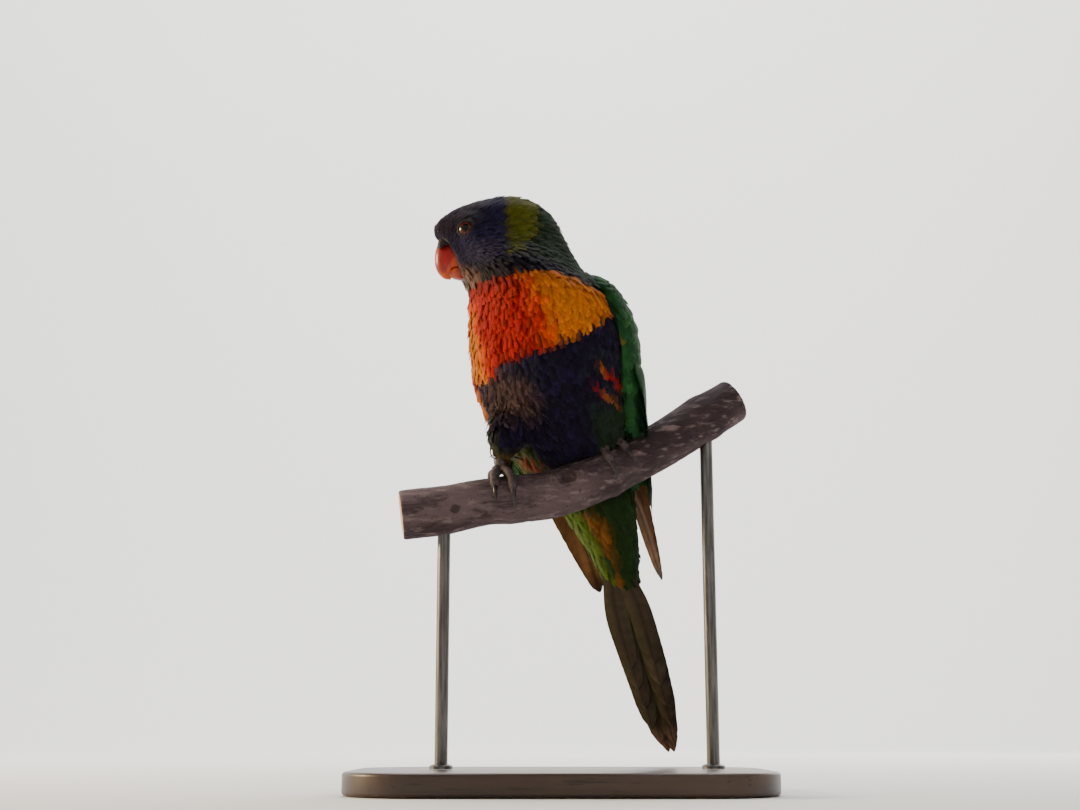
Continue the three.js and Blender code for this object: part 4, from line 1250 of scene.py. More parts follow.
def body_feathers(coat, roots, outward, rows, columns, rng):
    shares = region_shares(roots)
    head, cheek, ruffled = (shares[region] for region in ("head", "cheek", "ruffled"))
    length, half, _ = feather_sizes(roots, shares)
    count = len(roots)

    def around(value, spread):
        return value * np.clip(1 + spread * rng.normal(0, 1, count), 0.5, 1.7)

    lift = coat_depth(roots) * mix(1.0, 0.95, head)
    shape = {
        "lie": lie_of_plumage,
        "length": around(length, 0.12),
        "half": around(half, 0.12),
        "lift": around(lift, 0.2) + ruffled * rng.uniform(0, 2.6, count),
        "yaw": mix(9.0, 4.5, head) + 22 * ruffled,
        "roll": rng.normal(0, 1, count) * mix(0.10, 0.05, head) + ruffled * rng.normal(0, 0.25, count),
        "curl": mix(-0.5, -0.15, head) + ruffled * rng.normal(0.4, 0.8, count),
        "crown": 0.16,
        "fray": mix(0.36, 0.12, head) + 0.2 * ruffled,
        "bend": mix(30.0, 15.0, head),
        "roundness": mix(0.85, 0.0, cheek) * mix(1, 0.8, head),
    }
    return grow_feathers(coat, roots, outward, shape, plumage_tints, rows, columns, rng)


def finish_coat(name, grid, tints, vane_places, patches, material, slot="plumage", replaced=()):
    """Feather objects of fewer than 200,000 triangles each"""
    limit = COAT_LIMIT // triangle_count(grid.shape[1], grid.shape[2], 0)
    parts = int(math.ceil(len(grid) / limit))
    lower = np.empty((len(grid), grid.shape[1], 0, 3))
    order = np.argsort(patches[:, 0], kind="stable")
    for i, chosen in enumerate(np.array_split(order, parts)):
        title = name if parts == 1 else f"{name}_{i + 1}"
        feathers(
            title, grid[chosen], lower[chosen], tints[chosen], vane_places[chosen],
            patches[chosen], slot, material, replaced,
        )


# Flight feathers

class Vanes:
    """Gathers long feathers on one surface and makes them one object"""

    def __init__(self, place, scale, rows=20, columns=7, seed=0):
        self.place, self.scale, self.rows, self.columns = place, scale, rows, columns
        self.rng = np.random.default_rng(seed)
        self.gathered = []

    def add(self, start, end, half, side, height, tints, under, tilt=0.0, crown=0.3, fray=0.05,
            outline=FLIGHT, thick=0.35, bow=0.0, edge_share=0.35):
        """One feather from start to end. side and height give its middle line and level."""
        t = 1 - (1 - np.linspace(0, 1, self.rows)) ** 1.25
        u = np.linspace(-1, 1, self.columns)
        share = along(outline, t)[:, None]
        arched = 1 - u[None] ** 2
        aside = half * share * u[None]
        ragged = (np.arange(self.rows) % 2 == 1) * smooth((t - 0.3) * 3)
        cut = 1 - fray * ragged * self.rng.uniform(0.2, 1, self.rows)
        aside = aside * np.where(np.isclose(np.abs(u), 1)[None], cut[:, None], 1)
        shift = 0.7 * np.abs(aside) * smooth((1.02 - t) * 7)[:, None]
        reach = mix(start, end, t)[:, None] + shift / self.scale
        level = np.broadcast_to(height(t), t.shape)[:, None] - bow * t[:, None] ** 2
        level = level + tilt * smooth(t * 1.6)[:, None] * u[None] * share + crown * arched * share
        across = np.broadcast_to(side(t), t.shape)[:, None] + aside
        upper = self.place(reach, across, level)
        lower = self.place(reach, across, level - thick * arched)[:, 1:-1]
        travel = t[:, None] * abs(end - start) * self.scale + shift
        places = np.stack([aside, travel], -1) * 0.1
        light = 1 + 0.09 * self.rng.normal()
        shade = np.clip(tints(t, u) * light, 0, 1)
        below = np.clip(under(t, u) * light, 0, 1)
        shade[:, [0, -1]] = mix(below, shade, edge_share)[:, [0, -1]]
        self.gathered.append((upper, lower, shade, below[:, 1:-1], places))

    def build(self, name, material, replaced, corner):
        upper, lower, shade, below, places = (np.array(part) for part in zip(*self.gathered))
        roots = patch_rows(len(upper), int(math.ceil(math.sqrt(len(upper)))), corner, 0.008)
        feathers(name, upper, lower, shade, places, roots, "flight_feathers", material, replaced, below)


def patch_rows(count, across, corner, step):
    """Places in rows on the bake map, for feathers that don't grow from the skin"""
    index = np.arange(count)
    return np.stack([corner[0] + (index % across) * step, corner[1] + (index // across) * step], -1)


def vane_colours(base, tip=None, tip_from=0.8, edge=None, edge_share=0.5, shaft=None):
    """Colours over one vane: tip, outer edge and shaft on its base colour"""

    def tints(t, u):
        shade = np.tile(rgb(base), (len(t), len(u), 1))
        if edge is not None:
            outer = (smooth((-u - 0.2) * 2.4) * edge_share)[None, :, None]
            shade = mix(shade, rgb(edge), outer)
        if tip is not None:
            shade = mix(shade, rgb(tip), past(t, tip_from, 1 - tip_from)[:, None, None])
        if shaft is not None:
            shade = mix(shade, rgb(shaft), np.isclose(u, 0)[None, :, None] * 0.6)
        return shade

    return tints


def wing_core(wing):
    """Flesh of the wing under its feathers, as rings across the wing"""
    reach = np.linspace(0, 0.64, 34)[:, None]
    share = np.linspace(-1, 1, 18)[None]
    half = along(CORE_HALF, reach) * 0.95
    height = along(CORE_HEIGHT, reach)
    upper = wing.at(reach, half * share, mix(-0.8, height - 0.8, 1 - share**4))
    lower = wing.at(reach, (half * share)[:, ::-1], -2.4)
    return np.concatenate([upper, lower], 1)


def wing_reach(wing, points):
    """Reach along the wing of points near it"""
    places = np.linspace(0, 1, 161)
    line = wing.line.at(places)
    gap = np.linalg.norm(points[:, None] - line[None], axis=2)
    return places[np.argmin(gap, axis=1)]


# Tiers of the folded wing: count, places of root and tip from the wrist to the wing's tip, how much
# farther the rearmost reaches, middle lines of first and last, lift, half width and outline
WING_TIERS = {
    "secondaries": (9, 0.4, 0.69, 0.06, -13.5, 14.5, 1.1, 4.8, FLIGHT),
    "greater_coverts": (9, 0.36, 0.505, 0.02, -14.5, 14.5, 1.25, 4.7, COVERT),
    "median_coverts": (10, 0.3, 0.415, 0.01, -15.0, 15.0, 1.3, 4.3, COVERT),
}
# The right wing's secondaries end above the branch
RIGHT_SECONDARIES_SHORTER = 0.05
PRIMARY_ROOT = 0.5
PRIMARY_TIP = 0.995
PRIMARY_HALF_WIDTH = 5.6
# Height of each long feather over the one below it
PRIMARY_LIFT = 0.86


def build_primaries(wing, material):
    """Long feathers in a stack, the outermost longest and lowest"""
    c = colours()
    flight = Vanes(wing.at, wing.line.length(), rows=30, seed=50 + wing.sign)
    count = settings().primaries
    upper = vane_colours(c.primary_dark, c.primary_tip, 0.72, c.wing_green, 0.85, c.shaft)
    under = vane_colours(c.primary_under, c.primary_tip, 0.75, shaft=c.shaft)
    for i in range(count):
        k = i * 5 / (count - 1)
        flight.add(
            PRIMARY_ROOT, PRIMARY_TIP - 0.048 * k - 0.004 * k * k, PRIMARY_HALF_WIDTH,
            lambda t, k=k: mix(-7 + 2.6 * k, -1.5 + 0.9 * k, smooth(t)),
            lambda t, k=k: mix(0.1, 0.5, t) + PRIMARY_LIFT * k,
            upper, under, tilt=1.5, fray=0.04, thick=0.3,
        )
    flight.build(f"{wing.node}_primaries", material, (wing.node,), (0.82, 0.02))


def build_tiers(wing, material):
    """Secondaries and the larger coverts over the flesh of the wing"""
    c = colours()
    tiers = Vanes(wing.at, wing.line.length(), rows=20, columns=9, seed=60 + wing.sign)
    upper = vane_colours(c.wing_green, c.wing_light, 0.8, c.wing_light, 0.4, c.wing_shaft)
    under = vane_colours(c.wing_shaft)
    for title, (count, root, tip, fall, front, rear, lift, half, outline) in WING_TIERS.items():
        shorter = RIGHT_SECONDARIES_SHORTER if wing.sign < 0 and title == "secondaries" else 0
        for i in range(count):
            middle = mix(front, rear, i / (count - 1)) + 0.5 * tiers.rng.normal()
            end = tip + fall * i / (count - 1) + 0.007 * tiers.rng.normal() - shorter
            squeeze = along(CORE_HALF, end) / along(CORE_HALF, root) + 0.03 * tiers.rng.normal()

            def level(t, a=root, b=end, rise=lift):
                return along(CORE_HEIGHT, mix(a, b, t)) + mix(-1.2, rise, smooth(t * 2.5))

            tiers.add(
                root, end, half, lambda t, m=middle, s=squeeze: m * mix(1, s, t), level,
                upper, under, tilt=0.8, crown=0.55, fray=0.1, outline=outline,
            )
    tiers.build(f"{wing.node}_tiers", material, (wing.node,), (0.82, 0.1))


# Small coverts: where along the wing they end on its outer side and on its front edge, and where
# across the wing that edge begins
COVERTS_END = 0.33
FRONT_COVERTS_END = 0.6
FRONT_EDGE = -6


def covert_tints(shown, places, u, rng):
    """Green of the small coverts, with a few yellow tips beside the breast"""
    c = colours()
    fine = wander(shown, 0.3, 4)
    main = mix(rgb(c.wing_green), rgb(c.wing_light), 0.75 * smooth(0.8 * fine + 0.3)[:, None])
    z = shown[:, 2]
    rim = short_of(np.abs(body_angle(shown)), 108, 5) * past(z, 60, 6) * short_of(z, 84, 6)
    rim = rim * smooth(fine * 3 - 0.2)
    main = mix(main, rgb(c.breast_yellow), (0.35 * rim)[:, None])
    main = main * (1 + 0.06 * rng.normal(0, 1, (len(shown), 1)))
    down = smooth(places * 2.2)[None, :, None, None]
    shade = mix(main[:, None, None] * 0.45, main[:, None, None], down) + np.zeros((1, 1, len(u), 1))
    return np.clip(shade, 0, 1)


def build_lesser_coverts(wing, core, material):
    """Small feathers over the shoulder of the wing and along its front edge"""
    rng = np.random.default_rng(70 + wing.sign)
    coat = Coat(core)

    def keep(points, outward):
        reach = wing_reach(wing, points)
        run = wing.line.run(reach)
        normal = wing.outward.at(reach)
        across = np.sum((points - wing.line.at(reach)) * np.cross(normal, run), -1) * wing.sign
        front = across < FRONT_EDGE
        facing = np.sum(outward * normal, -1) > np.where(front & (reach > 0.25), -0.98, -0.05)
        covered = (reach > 0.015) & (reach < np.where(front, FRONT_COVERTS_END, COVERTS_END))
        return covered & facing & (np.sum(outward * run, -1) < 0.9)

    def along_wing(points):
        return smooth(wing_reach(wing, points) / COVERTS_END)

    def spacing(points):
        return mix(1.5, 2.7, along_wing(points))

    def lie(points):
        return wing.line.run(wing_reach(wing, np.atleast_2d(points)))

    roots, outward = coat.spread(rng, 40000, spacing, keep)
    count = len(roots)
    share = along_wing(roots)
    edge = past(wing_reach(wing, roots), COVERTS_END, 0.05)
    shape = {
        "lie": lie,
        "length": (mix(6.0, 12.5, share) - 3 * edge) * (1 + 0.1 * rng.normal(0, 1, count)),
        "half": (mix(1.7, 3.6, share) - 1.1 * edge) * (1 + 0.1 * rng.normal(0, 1, count)),
        "lift": 1.7 * (1 + 0.2 * rng.normal(0, 1, count)),
        "yaw": 5.0,
        "roll": 0.06 * rng.normal(0, 1, count),
        "curl": -0.35,
        "crown": 0.14,
        "fray": 0.1,
        "bend": 24.0,
        "roundness": 0.92,
    }
    grid, tints, vane_places, _ = grow_feathers(coat, roots, outward, shape, covert_tints, 16, 7, rng)
    patches = patch_rows(count, 24, (0.9, 0.6 if wing.sign > 0 else 0.3), 0.004)
    name = f"{wing.node}_coverts"
    finish_coat(name, grid, tints, vane_places, patches, material, "flight_feathers", (wing.node,))


def build_wings():
    c = colours()
    long_vanes = plumage_material("flight_feathers", 0.045, 0.6, 0.02, 0.3)
    small = plumage_material("wing_coverts", 0.035, 0.55, 0.03, 0.3)
    for label, sign in (("left", 1), ("right", -1)):
        wing = Wing(label, sign)
        core = piece(f"{wing.node}_core", *tube(wing_core(wing)), "flight_feathers", (wing.node,))
        # Painted shade: the wing's flesh under its feathers is a darkened copy of the wing green
        dress(core, rgb(c.wing_green) * 0.4, small)
        lay_map(core, "FeatherUV", np.zeros((len(core.data.vertices), 2)))
        build_primaries(wing, long_vanes)
        build_tiers(wing, long_vanes)
        build_lesser_coverts(wing, core, small)


def build_tail():
    """Twelve graduated tail feathers, the middle pair longest and uppermost"""
    c = colours()
    vanes = Vanes(tail_point, 1.0, rows=34, columns=9, seed=80)
    upper = vane_colours(c.tail_green, c.tail_tip, 0.8, shaft=c.shaft)
    for i, tip in enumerate(RECTRIX_TIPS):
        middle = RECTRIX_SIDE[i]
        under_tip = c.tail_tip if i < 2 else None
        under = vane_colours(c.tail_under, under_tip, 0.86, c.tail_edge, 0.3, c.shaft)
        for sign in (1, -1):
            layer = 2 * i + (sign > 0) if i < 2 else i + 2
            level = RECTRIX_TOP - layer * RECTRIX_STEP
            vanes.add(
                RECTRIX_ROOT, tip, RECTRIX_HALF_WIDTH * (1.0 - 0.02 * i),
                lambda t, s=sign, m=middle: s * mix(0.45 * m, m, smooth(t * 2)),
                lambda t, v=level: v, upper, under, tilt=0.1 * sign, crown=0.3, fray=0.03,
                outline=RECTRIX, bow=0.2, thick=0.32, edge_share=0.1,
            )
    material = plumage_material("tail_feathers", 0.05, 0.6, 0.02, 0.3)
    vanes.build("tail_feathers", material, ("tail",), (0.82, 0.2))


# Bill and eyes

def arched(rows, half_width, count=70, steps=48):
    """Rings of an arched section on rays from the gape, closed along the palate"""
    line = Line(rows)
    values = line.at(np.linspace(0, 1, count))
    degrees, inner, outer, share = (values[:, i:i + 1] for i in range(4))
    bend = np.radians(np.linspace(-90, 90, steps))[None]
    side = half_width * share * np.sign(bend) * np.abs(np.sin(bend)) ** 0.9
    radius = mix(inner, outer, np.maximum(np.cos(bend), 0) ** 0.75)
    palate = np.linspace(1, -1, 9)[None, 1:-1]
    side = np.concatenate([side, half_width * share * palate], 1)
    radius = np.concatenate([radius, inner + 0.25 * (1 - palate**2) * (outer - inner) * 0.3], 1)
    ray = np.radians(degrees)
    forward = BILL_FORWARD + radius * np.cos(ray)
    return head_point(forward, side, BILL_Z + radius * np.sin(ray)), values


def horn_material(name, coat):
    """Waxy horn: painted tint with fine growth lines, worn a little at random"""
    material, tree, shader = new_material(name, 0.32, 0.36)
    streak = grain(tree, 520, 6, (1.0, 1.0, 0.22))
    cloud = grain(tree, 160, 5)
    colour = shaded(tree, painted(tree), streak, 0.34, 0.68, (0.72, 0.66, 0.62), (1.14, 1.1, 1.06))
    colour = shaded(tree, colour, cloud, 0.32, 0.7, (0.8, 0.74, 0.7), (1.12, 1.14, 1.12))
    tree.links.new(colour, shader.inputs["Base Color"])
    rough = tree.nodes.new("ShaderNodeMapRange")
    rough.inputs["To Min"].default_value = 0.24
    rough.inputs["To Max"].default_value = 0.46
    tree.links.new(streak, rough.inputs["Value"])
    tree.links.new(rough.outputs["Result"], shader.inputs["Roughness"])
    lacquer(shader, coat, 0.2)
    shader.inputs["Subsurface Weight"].default_value = 0.08
    shader.inputs["Subsurface Radius"].default_value = (0.0012, 0.0005, 0.0003)
    bump(tree, shader, arithmetic(tree, "ADD", streak, cloud), 0.4, 0.0003)
    return material


def build_bill():
    horn = horn_material("bill_horn", 0.14)
    build_upper_horn(horn)
    build_lower_horn(horn)
    build_cere()


def build_upper_horn(horn):
    """Hooked upper bill, paler towards its tip and along its cutting edges"""
    c = colours()
    edge_points = 4
    steps = 56
    rings, values = arched(BILL_ROWS + [BILL_POINT], BILL_HALF_WIDTH, 90, steps)
    upper = piece("bill_upper_horn", *tube(rings), "bill", ("bill_upper",), 80)
    down = short_of(values[:, 0], 8, 40)[:, None]
    shade = mix(rgb(c.bill), rgb(c.bill_tip), down)[:, None] + np.zeros((1, rings.shape[1], 1))
    cutting = np.zeros(rings.shape[1])
    cutting[:edge_points] = cutting[steps - edge_points:steps] = 0.35
    shade = mix(shade, rgb(c.bill_tip), cutting[None, :, None])
    dress(upper, np.vstack([shade.reshape(-1, 3), shade[0, :1], shade[-1, :1]]), horn)


def build_lower_horn(horn):
    """Lower bill with its upper edges tucked into the upper one"""
    c = colours()
    rows, around = 30, 40
    forward, low, high, share = (
        Line(MANDIBLE_ROWS).at(np.linspace(0, 1, rows))[:, i:i + 1] for i in range(4)
    )
    angle = whole_turn(around)[None]
    cos, sin = np.cos(angle), np.sin(angle)
    middle = mix(low, high, MANDIBLE_KEEL)
    height = np.where(cos > 0, high - middle, middle - low)
    blunt = np.where(cos > 0, 0.5, 0.95)
    side = 1.14 * MANDIBLE_HALF_WIDTH * share * np.sign(sin) * np.abs(sin) ** blunt
    rings = head_point(forward, side, middle + height * cos)
    lower = piece("bill_lower_horn", *tube(rings), "bill", ("bill_lower",), 80)
    fade = smooth(np.linspace(-0.2, 1.1, rows))[:, None, None]
    pale = mix(rgb(c.bill), rgb(c.bill_tip), 0.5)
    shade = mix(rgb(c.bill) * 0.8, pale, fade) + np.zeros((1, around, 1))
    dress(lower, np.vstack([shade.reshape(-1, 3), shade[0, :1], shade[-1, :1]]), horn)


def build_cere():
    """Bare saddle over the root of the bill, with a nostril in each side whose pit is darkened with painted
    shade
    """
    c = colours()
    rings, _ = arched(CERE_SKIN, CERE_HALF_WIDTH, 44, 90)
    flat = rings.reshape(-1, 3)
    ahead, aside, rise = NOSTRIL
    dark = np.zeros(len(flat))
    for sign in (1, -1):
        centre = head_point(BILL_FORWARD + ahead, sign * aside, BILL_Z + rise)
        gap = np.linalg.norm((flat - centre) * [1, 1, 0.85], axis=1)
        rim = np.exp(-(((gap - NOSTRIL_RIM) / 0.45) ** 2)) * 0.22
        pit = short_of(gap, 1.35, 0.7)
        flat = flat + HEAD_LEFT * sign * (rim - NOSTRIL_DEPTH * pit)[:, None]
        dark = np.maximum(dark, pit)
    lumps = wander(flat, 1.1, 6) * 0.12 + wander(flat, 3.0, 7) * 0.04
    flat = flat + unit(flat - flat.mean(0)) * lumps[:, None]
    made = piece("cere_skin", *tube(flat.reshape(rings.shape)), "cere", ("cere",), 80)
    # Painted shade: the nostril pits are darkened to nearly black
    shade = mix(rgb(c.cere), rgb(c.cere) * 0.08, dark[:, None])
    dress(made, np.vstack([shade, shade[:2]]), skin_material("cere_skin", 1700))


def skin_material(name, scale):
    """Bare leathery skin with fine pebbles"""
    material, tree, shader = new_material(name, 0.6, 0.22)
    place = tree.nodes.new("ShaderNodeTexCoord")
    cells = node(tree, "ShaderNodeTexVoronoi", Scale=scale)
    tree.links.new(place.outputs["Object"], cells.inputs["Vector"])
    pebble = ramp(tree, cells.outputs["Distance"], 0.0, 0.6)
    shade = blended(tree, pebble, (1.15, 1.13, 1.1), (0.62, 0.6, 0.6))
    colour = times(tree, painted(tree), shade)
    colour = shaded(tree, colour, grain(tree, 150, 4), 0.3, 0.7, (0.85, 0.84, 0.84), (1.12, 1.1, 1.08))
    tree.links.new(colour, shader.inputs["Base Color"])
    bump(tree, shader, arithmetic(tree, "SUBTRACT", 1.0, pebble), 0.5, 0.12 / scale)
    return material


def cornea_material():
    """Wet eye: painted pupil and iris, with fine fibres"""
    material, tree, shader = new_material("eye_cornea", 0.12, 0.2)
    fibres = grain(tree, 1500, 3)
    colour = shaded(tree, painted(tree), fibres, 0.3, 0.7, (0.8, 0.78, 0.78), (1.15, 1.12, 1.1))
    tree.links.new(colour, shader.inputs["Base Color"])
    lacquer(shader, 0.15, 0.02)
    return material


def build_eyes():
    """Eyeballs with iris and pupil, and the bare ring of the lids round each"""
    cornea = cornea_material()
    lid_skin = skin_material("eyelid_skin", 2400)
    for label, sign, centre in zip(("left", "right"), (1, -1), eye_centres()):
        look = unit(HEAD_LEFT * sign + HEAD_AHEAD * EYE_AHEAD)
        across = unit(np.cross([0, 0, 1], look))
        upward = np.cross(look, across)
        build_eyeball(label, centre, look, across, upward, cornea)
        build_lids(label, centre, look, across, upward, lid_skin)


def build_eyeball(label, centre, look, across, upward, cornea):
    c = colours()
    polar = np.radians(np.concatenate([np.linspace(1, 60, 80), np.linspace(64, 176, 24)]))[:, None]
    angle = whole_turn(72)[None]
    bulge = EYE_RADIUS + EYE_CENTRE_SWELL * np.exp(-((polar / 0.5) ** 2))
    ring = np.cos(angle)[..., None] * across + np.sin(angle)[..., None] * upward
    outward = np.cos(polar)[..., None] * look + np.sin(polar)[..., None] * ring
    rings = centre + bulge[..., None] * outward
    ball = piece(f"eye_{label}_ball", *tube(rings), "eye", (f"eye_{label}",), 180)
    reach = np.degrees(polar) + 0.5 * np.sin(5 * angle)
    fibres = 1 + 0.16 * np.sin(23 * angle + 3 * np.sin(7 * angle)) * past(reach, PUPIL_EDGE, 6)
    iris = mix(rgb(c.iris_inner), rgb(c.iris), past(reach, PUPIL_EDGE, 12)[..., None])
    black = np.full(3, 0.004)
    rim_black = np.full(3, 0.006)
    shade = mix(black, iris * fibres[..., None], past(reach, PUPIL_EDGE - 1.5, 1.6)[..., None])
    shade = mix(shade, rim_black, past(reach, IRIS_EDGE, 3)[..., None])
    dress(ball, np.vstack([shade.reshape(-1, 3), black, black]), cornea)


def build_lids(label, centre, look, across, upward, lid_skin):
    """Puckered ring round the eye's opening"""
    section = whole_turn(16)
    rings = []
    for turn in whole_turn(72):
        rise = math.sin(turn)
        opening = math.radians(LID_OPENING - 3.5 * rise**2 - 2.0 * max(rise, 0))
        wide = opening + np.radians(7.5) + np.radians(8.0) * np.cos(section)
        away = EYE_RADIUS + 0.12 + 0.42 * np.sin(section) + 0.06 * math.sin(turn * 18)
        ring_way = math.cos(turn) * across + rise * upward
        direction = np.cos(wide)[:, None] * look + np.sin(wide)[:, None] * ring_way
        rings.append(centre + away[:, None] * direction)
    made = piece(f"eye_{label}_lids", *tube(np.array(rings), True), "cere", (), 180)
    dress(made, rgb(colours().lid), lid_skin)


# Feet

CLAW_RADII = [(0, 1.3), (0.33, 1.1), (0.66, 0.75), (1, 0.16)]


def toe_parts(side, toe):
    """Rings of a scaly toe over the branch, and of its claw"""
    start, spread, first, last, claw_end = toe
    sign = 1 if side == "left" else -1
    middle = perch_place(FOOT_X[side])
    per_mm = 1 / PERCH_LINE.length()
    t = np.linspace(0, 1, 64)
    shift = sign * mix(start, spread, smooth(t * 1.6)) * per_mm
    pads = 0.24 * np.cos(t * math.pi * 5)
    scutes = 0.13 * np.abs((t * 15) % 1 - 0.5)
    radius = TOE_RADIUS * mix(1.05, 0.78, t) + pads
    line = perch_point(middle + shift, mix(first, last, t), radius + TOE_LIFT)
    toe_rings = rod_rings(line, radius + scutes, 22)
    s = np.linspace(0, 1, 24)
    lift = 2.1 + 1.5 * np.sin(math.pi * s * 0.9) - 1.3 * s
    angle = mix(last - math.copysign(6, last), claw_end, s)
    claw_line = perch_point(middle + sign * mix(spread, spread * 1.1, s) * per_mm, angle, lift)
    return toe_rings, rod_rings(claw_line, along(CLAW_RADII, s), 16)


def build_feet():
    c = colours()
    scaly = skin_material("foot_scales", 1100)
    claw_horn = horn_material("claw_horn", 0.25)
    for side in FOOT_X:
        foot_node = f"foot_{side}"
        pad = perch_point(perch_place(FOOT_X[side]), 8, 3.4)
        t = np.linspace(0, 1, 26)[:, None]
        shank = mix(ankle(side) + [0, 0, 1.0], pad, t)
        radius = SHANK_RADIUS + 0.1 * np.abs((t[:, 0] * 7) % 1 - 0.5)
        toes, claws = [tube(rod_rings(shank, radius, 22))], []
        for toe in TOES:
            toe_rings, claw_rings = toe_parts(side, toe)
            toes.append(tube(toe_rings))
            claws.append(tube(claw_rings))
        made = piece(f"{foot_node}_toes", *joined(toes), "foot_skin", (foot_node,), 70)
        dress(made, rgb(c.foot), scaly)
        nails = piece(f"{foot_node}_claws", *joined(claws), "foot_skin", (foot_node,), 80)
        dress(nails, rgb(c.claw), claw_horn)


# Perch and stand

# Knots of the bark: x along the branch, angle round it, height, and reach of the swelling
BARK_KNOTS = [
    (5.0, 66.0, 1.7, 7.5), (34.0, 40.0, 1.1, 4.0), (-50.0, 100.0, 1.0, 4.0), (60.0, 118.0, 1.1, 4.5),
]


def bark_lift(place, degrees):
    """Relief of the bark over the branch's round surface"""
    length = PERCH_LINE.length()
    angle = np.radians(degrees)
    s = place * length

    def uneven(along_step, across_step, seed):
        cell = [s * along_step, across_step * np.cos(angle), across_step * np.sin(angle)]
        return wander(np.stack(cell, -1), 1.0, seed)

    ridges = 1 - np.abs(uneven(0.06, 5.5, 12)) * 2.4
    lift = 0.45 * uneven(0.05, 1.4, 11) - 0.24 * past(ridges, 0.5, 0.5) + 0.14 * uneven(0.4, 9, 13)
    for x, around, height, reach in BARK_KNOTS:
        turn = (degrees - around + 180) % 360 - 180
        gap = np.hypot((s - perch_place(x) * length), np.radians(turn) * PERCH_RADIUS)
        swell = height * np.exp(-((gap / reach) ** 2))
        hollow = -1.75 * height * np.exp(-((gap / (0.62 * reach)) ** 2))
        folds = 0.22 * np.sin(gap * 2.6) * np.exp(-((gap / (1.2 * reach)) ** 2))
        lift = lift + swell + hollow + folds
    return lift


def bark_material():
    """Smooth bark with painted shade in its hollows, and growth rings on the cut ends"""
    c = colours()
    material, tree, shader = new_material("bark", 0.85, 0.25)
    flat = grain(tree, 45, 6, (0.35, 1.0, 1.0))
    fine = grain(tree, 420, 5, (0.3, 1.0, 1.0))
    specks = grain(tree, 900, 3)
    low = blended(tree, ramp(tree, flat, 0.32, 0.68), c.bark_dark, c.bark)
    worn = blended(tree, ramp(tree, fine, 0.5, 0.72), low, c.bark_light)
    dotted = blended(tree, ramp(tree, specks, 0.62, 0.72), worn, c.bark_dark)
    # Painted shade: bark darkens towards the crack colour where the relief lies low, in hollows and the
    # knots' pits
    raised = ramp(tree, point_value(tree, "Relief"), 0.28, 0.5)
    bark = blended(tree, arithmetic(tree, "MULTIPLY_ADD", raised, 0.75, 0.25), c.bark_dark, dotted)
    uneven = arithmetic(tree, "MULTIPLY", grain(tree, 220, 3), 5.0)
    phase = arithmetic(tree, "MULTIPLY_ADD", point_value(tree, "RingPlace"), 60.0, uneven)
    rings = ramp(tree, arithmetic(tree, "SINE", phase), -0.6, 0.9)
    wood = blended(tree, rings, c.wood_pale, c.wood_dark)
    colour = blended(tree, point_value(tree, "Cut"), bark, wood)
    tree.links.new(colour, shader.inputs["Base Color"])
    bump(tree, shader, arithmetic(tree, "ADD", fine, flat), 0.75, 0.0006)
    return material


def point_value(tree, name):
    return node(tree, "ShaderNodeAttribute", attribute_name=name).outputs["Fac"]


def float_layer(made, name, values):
    layer = made.data.attributes.new(name=name, type="FLOAT", domain="POINT")
    layer.data.foreach_set("value", np.asarray(values, np.float32).ravel())


def build_perch():
    rows, around, cuts = 280, 120, 9
    rim_run = 0.006
    degrees = np.linspace(0, 360, around, endpoint=False)[None]
    place, degrees = np.broadcast_arrays(np.linspace(0, 1, rows)[:, None], degrees)
    lift = bark_lift(place, degrees)
    rim = 0.5 * (short_of(place, rim_run, rim_run) + past(place, 1 - rim_run, rim_run))
    sides = perch_point(place, degrees, lift - rim)
    shares = np.linspace(0.97, 0.03, cuts)
    ends = []
    for end in (0, -1):
        centre = sides[end].mean(0)
        ends.append(np.array([mix(centre, sides[end], k) for k in shares]))
    rings = np.concatenate([ends[0][::-1], sides, ends[1]])
    made = piece("perch_bark", *tube(rings), "bark", ("perch",), 50)
    whole = np.ones((cuts, around))
    inward = shares[:, None] * whole
    radius = np.concatenate([inward[::-1], np.ones((rows, around)), inward])
    cut = np.concatenate([whole, np.zeros((rows, around)), whole])
    relief = np.concatenate([whole, 0.5 + 0.5 * lift, whole])
    float_layer(made, "RingPlace", np.append(radius, [0, 0]))
    float_layer(made, "Cut", np.append(cut, [1, 1]))
    float_layer(made, "Relief", np.append(relief, [1, 1]))
    made.data.materials.append(bark_material())


def rounded_slab(lowest, highest, corner, edge):
    """Rings of a slab with round corners and softly rounded edges, in millimetres"""
    half = (highest - lowest) / 2
    middle = (highest + lowest) / 2
    turns = np.linspace(0, math.pi / 2, 14)
    bends = np.linspace(0, math.pi / 2, 7)
    profile = [(edge * (1 - math.sin(a)), edge * (1 - math.cos(a))) for a in bends]
    levels = [(inset, lowest[2] + rise) for inset, rise in profile]
    levels += [(inset, highest[2] - rise) for inset, rise in reversed(profile)]
    rings = []
    for inset, z in levels:
        ring = []
        for quarter, (sx, sy) in enumerate(((1, 1), (-1, 1), (-1, -1), (1, -1))):
            for a in turns + quarter * math.pi / 2:
                x = middle[0] + sx * (half[0] - corner) + (corner - inset) * math.cos(a)
                y = middle[1] + sy * (half[1] - corner) + (corner - inset) * math.sin(a)
                ring.append((x, y, z))
        rings.append(ring)
    return np.array(rings)


# Base: radius of its corners and edges. Rod: height and share of its radius up the collar at its foot
BASE_CORNER = 34
BASE_EDGE = 1.6
ROD_FOOT = [(0, 1.75), (1.4, 1.75), (2.0, 1.45), (2.3, 1.0), (2.6, 1.0)]


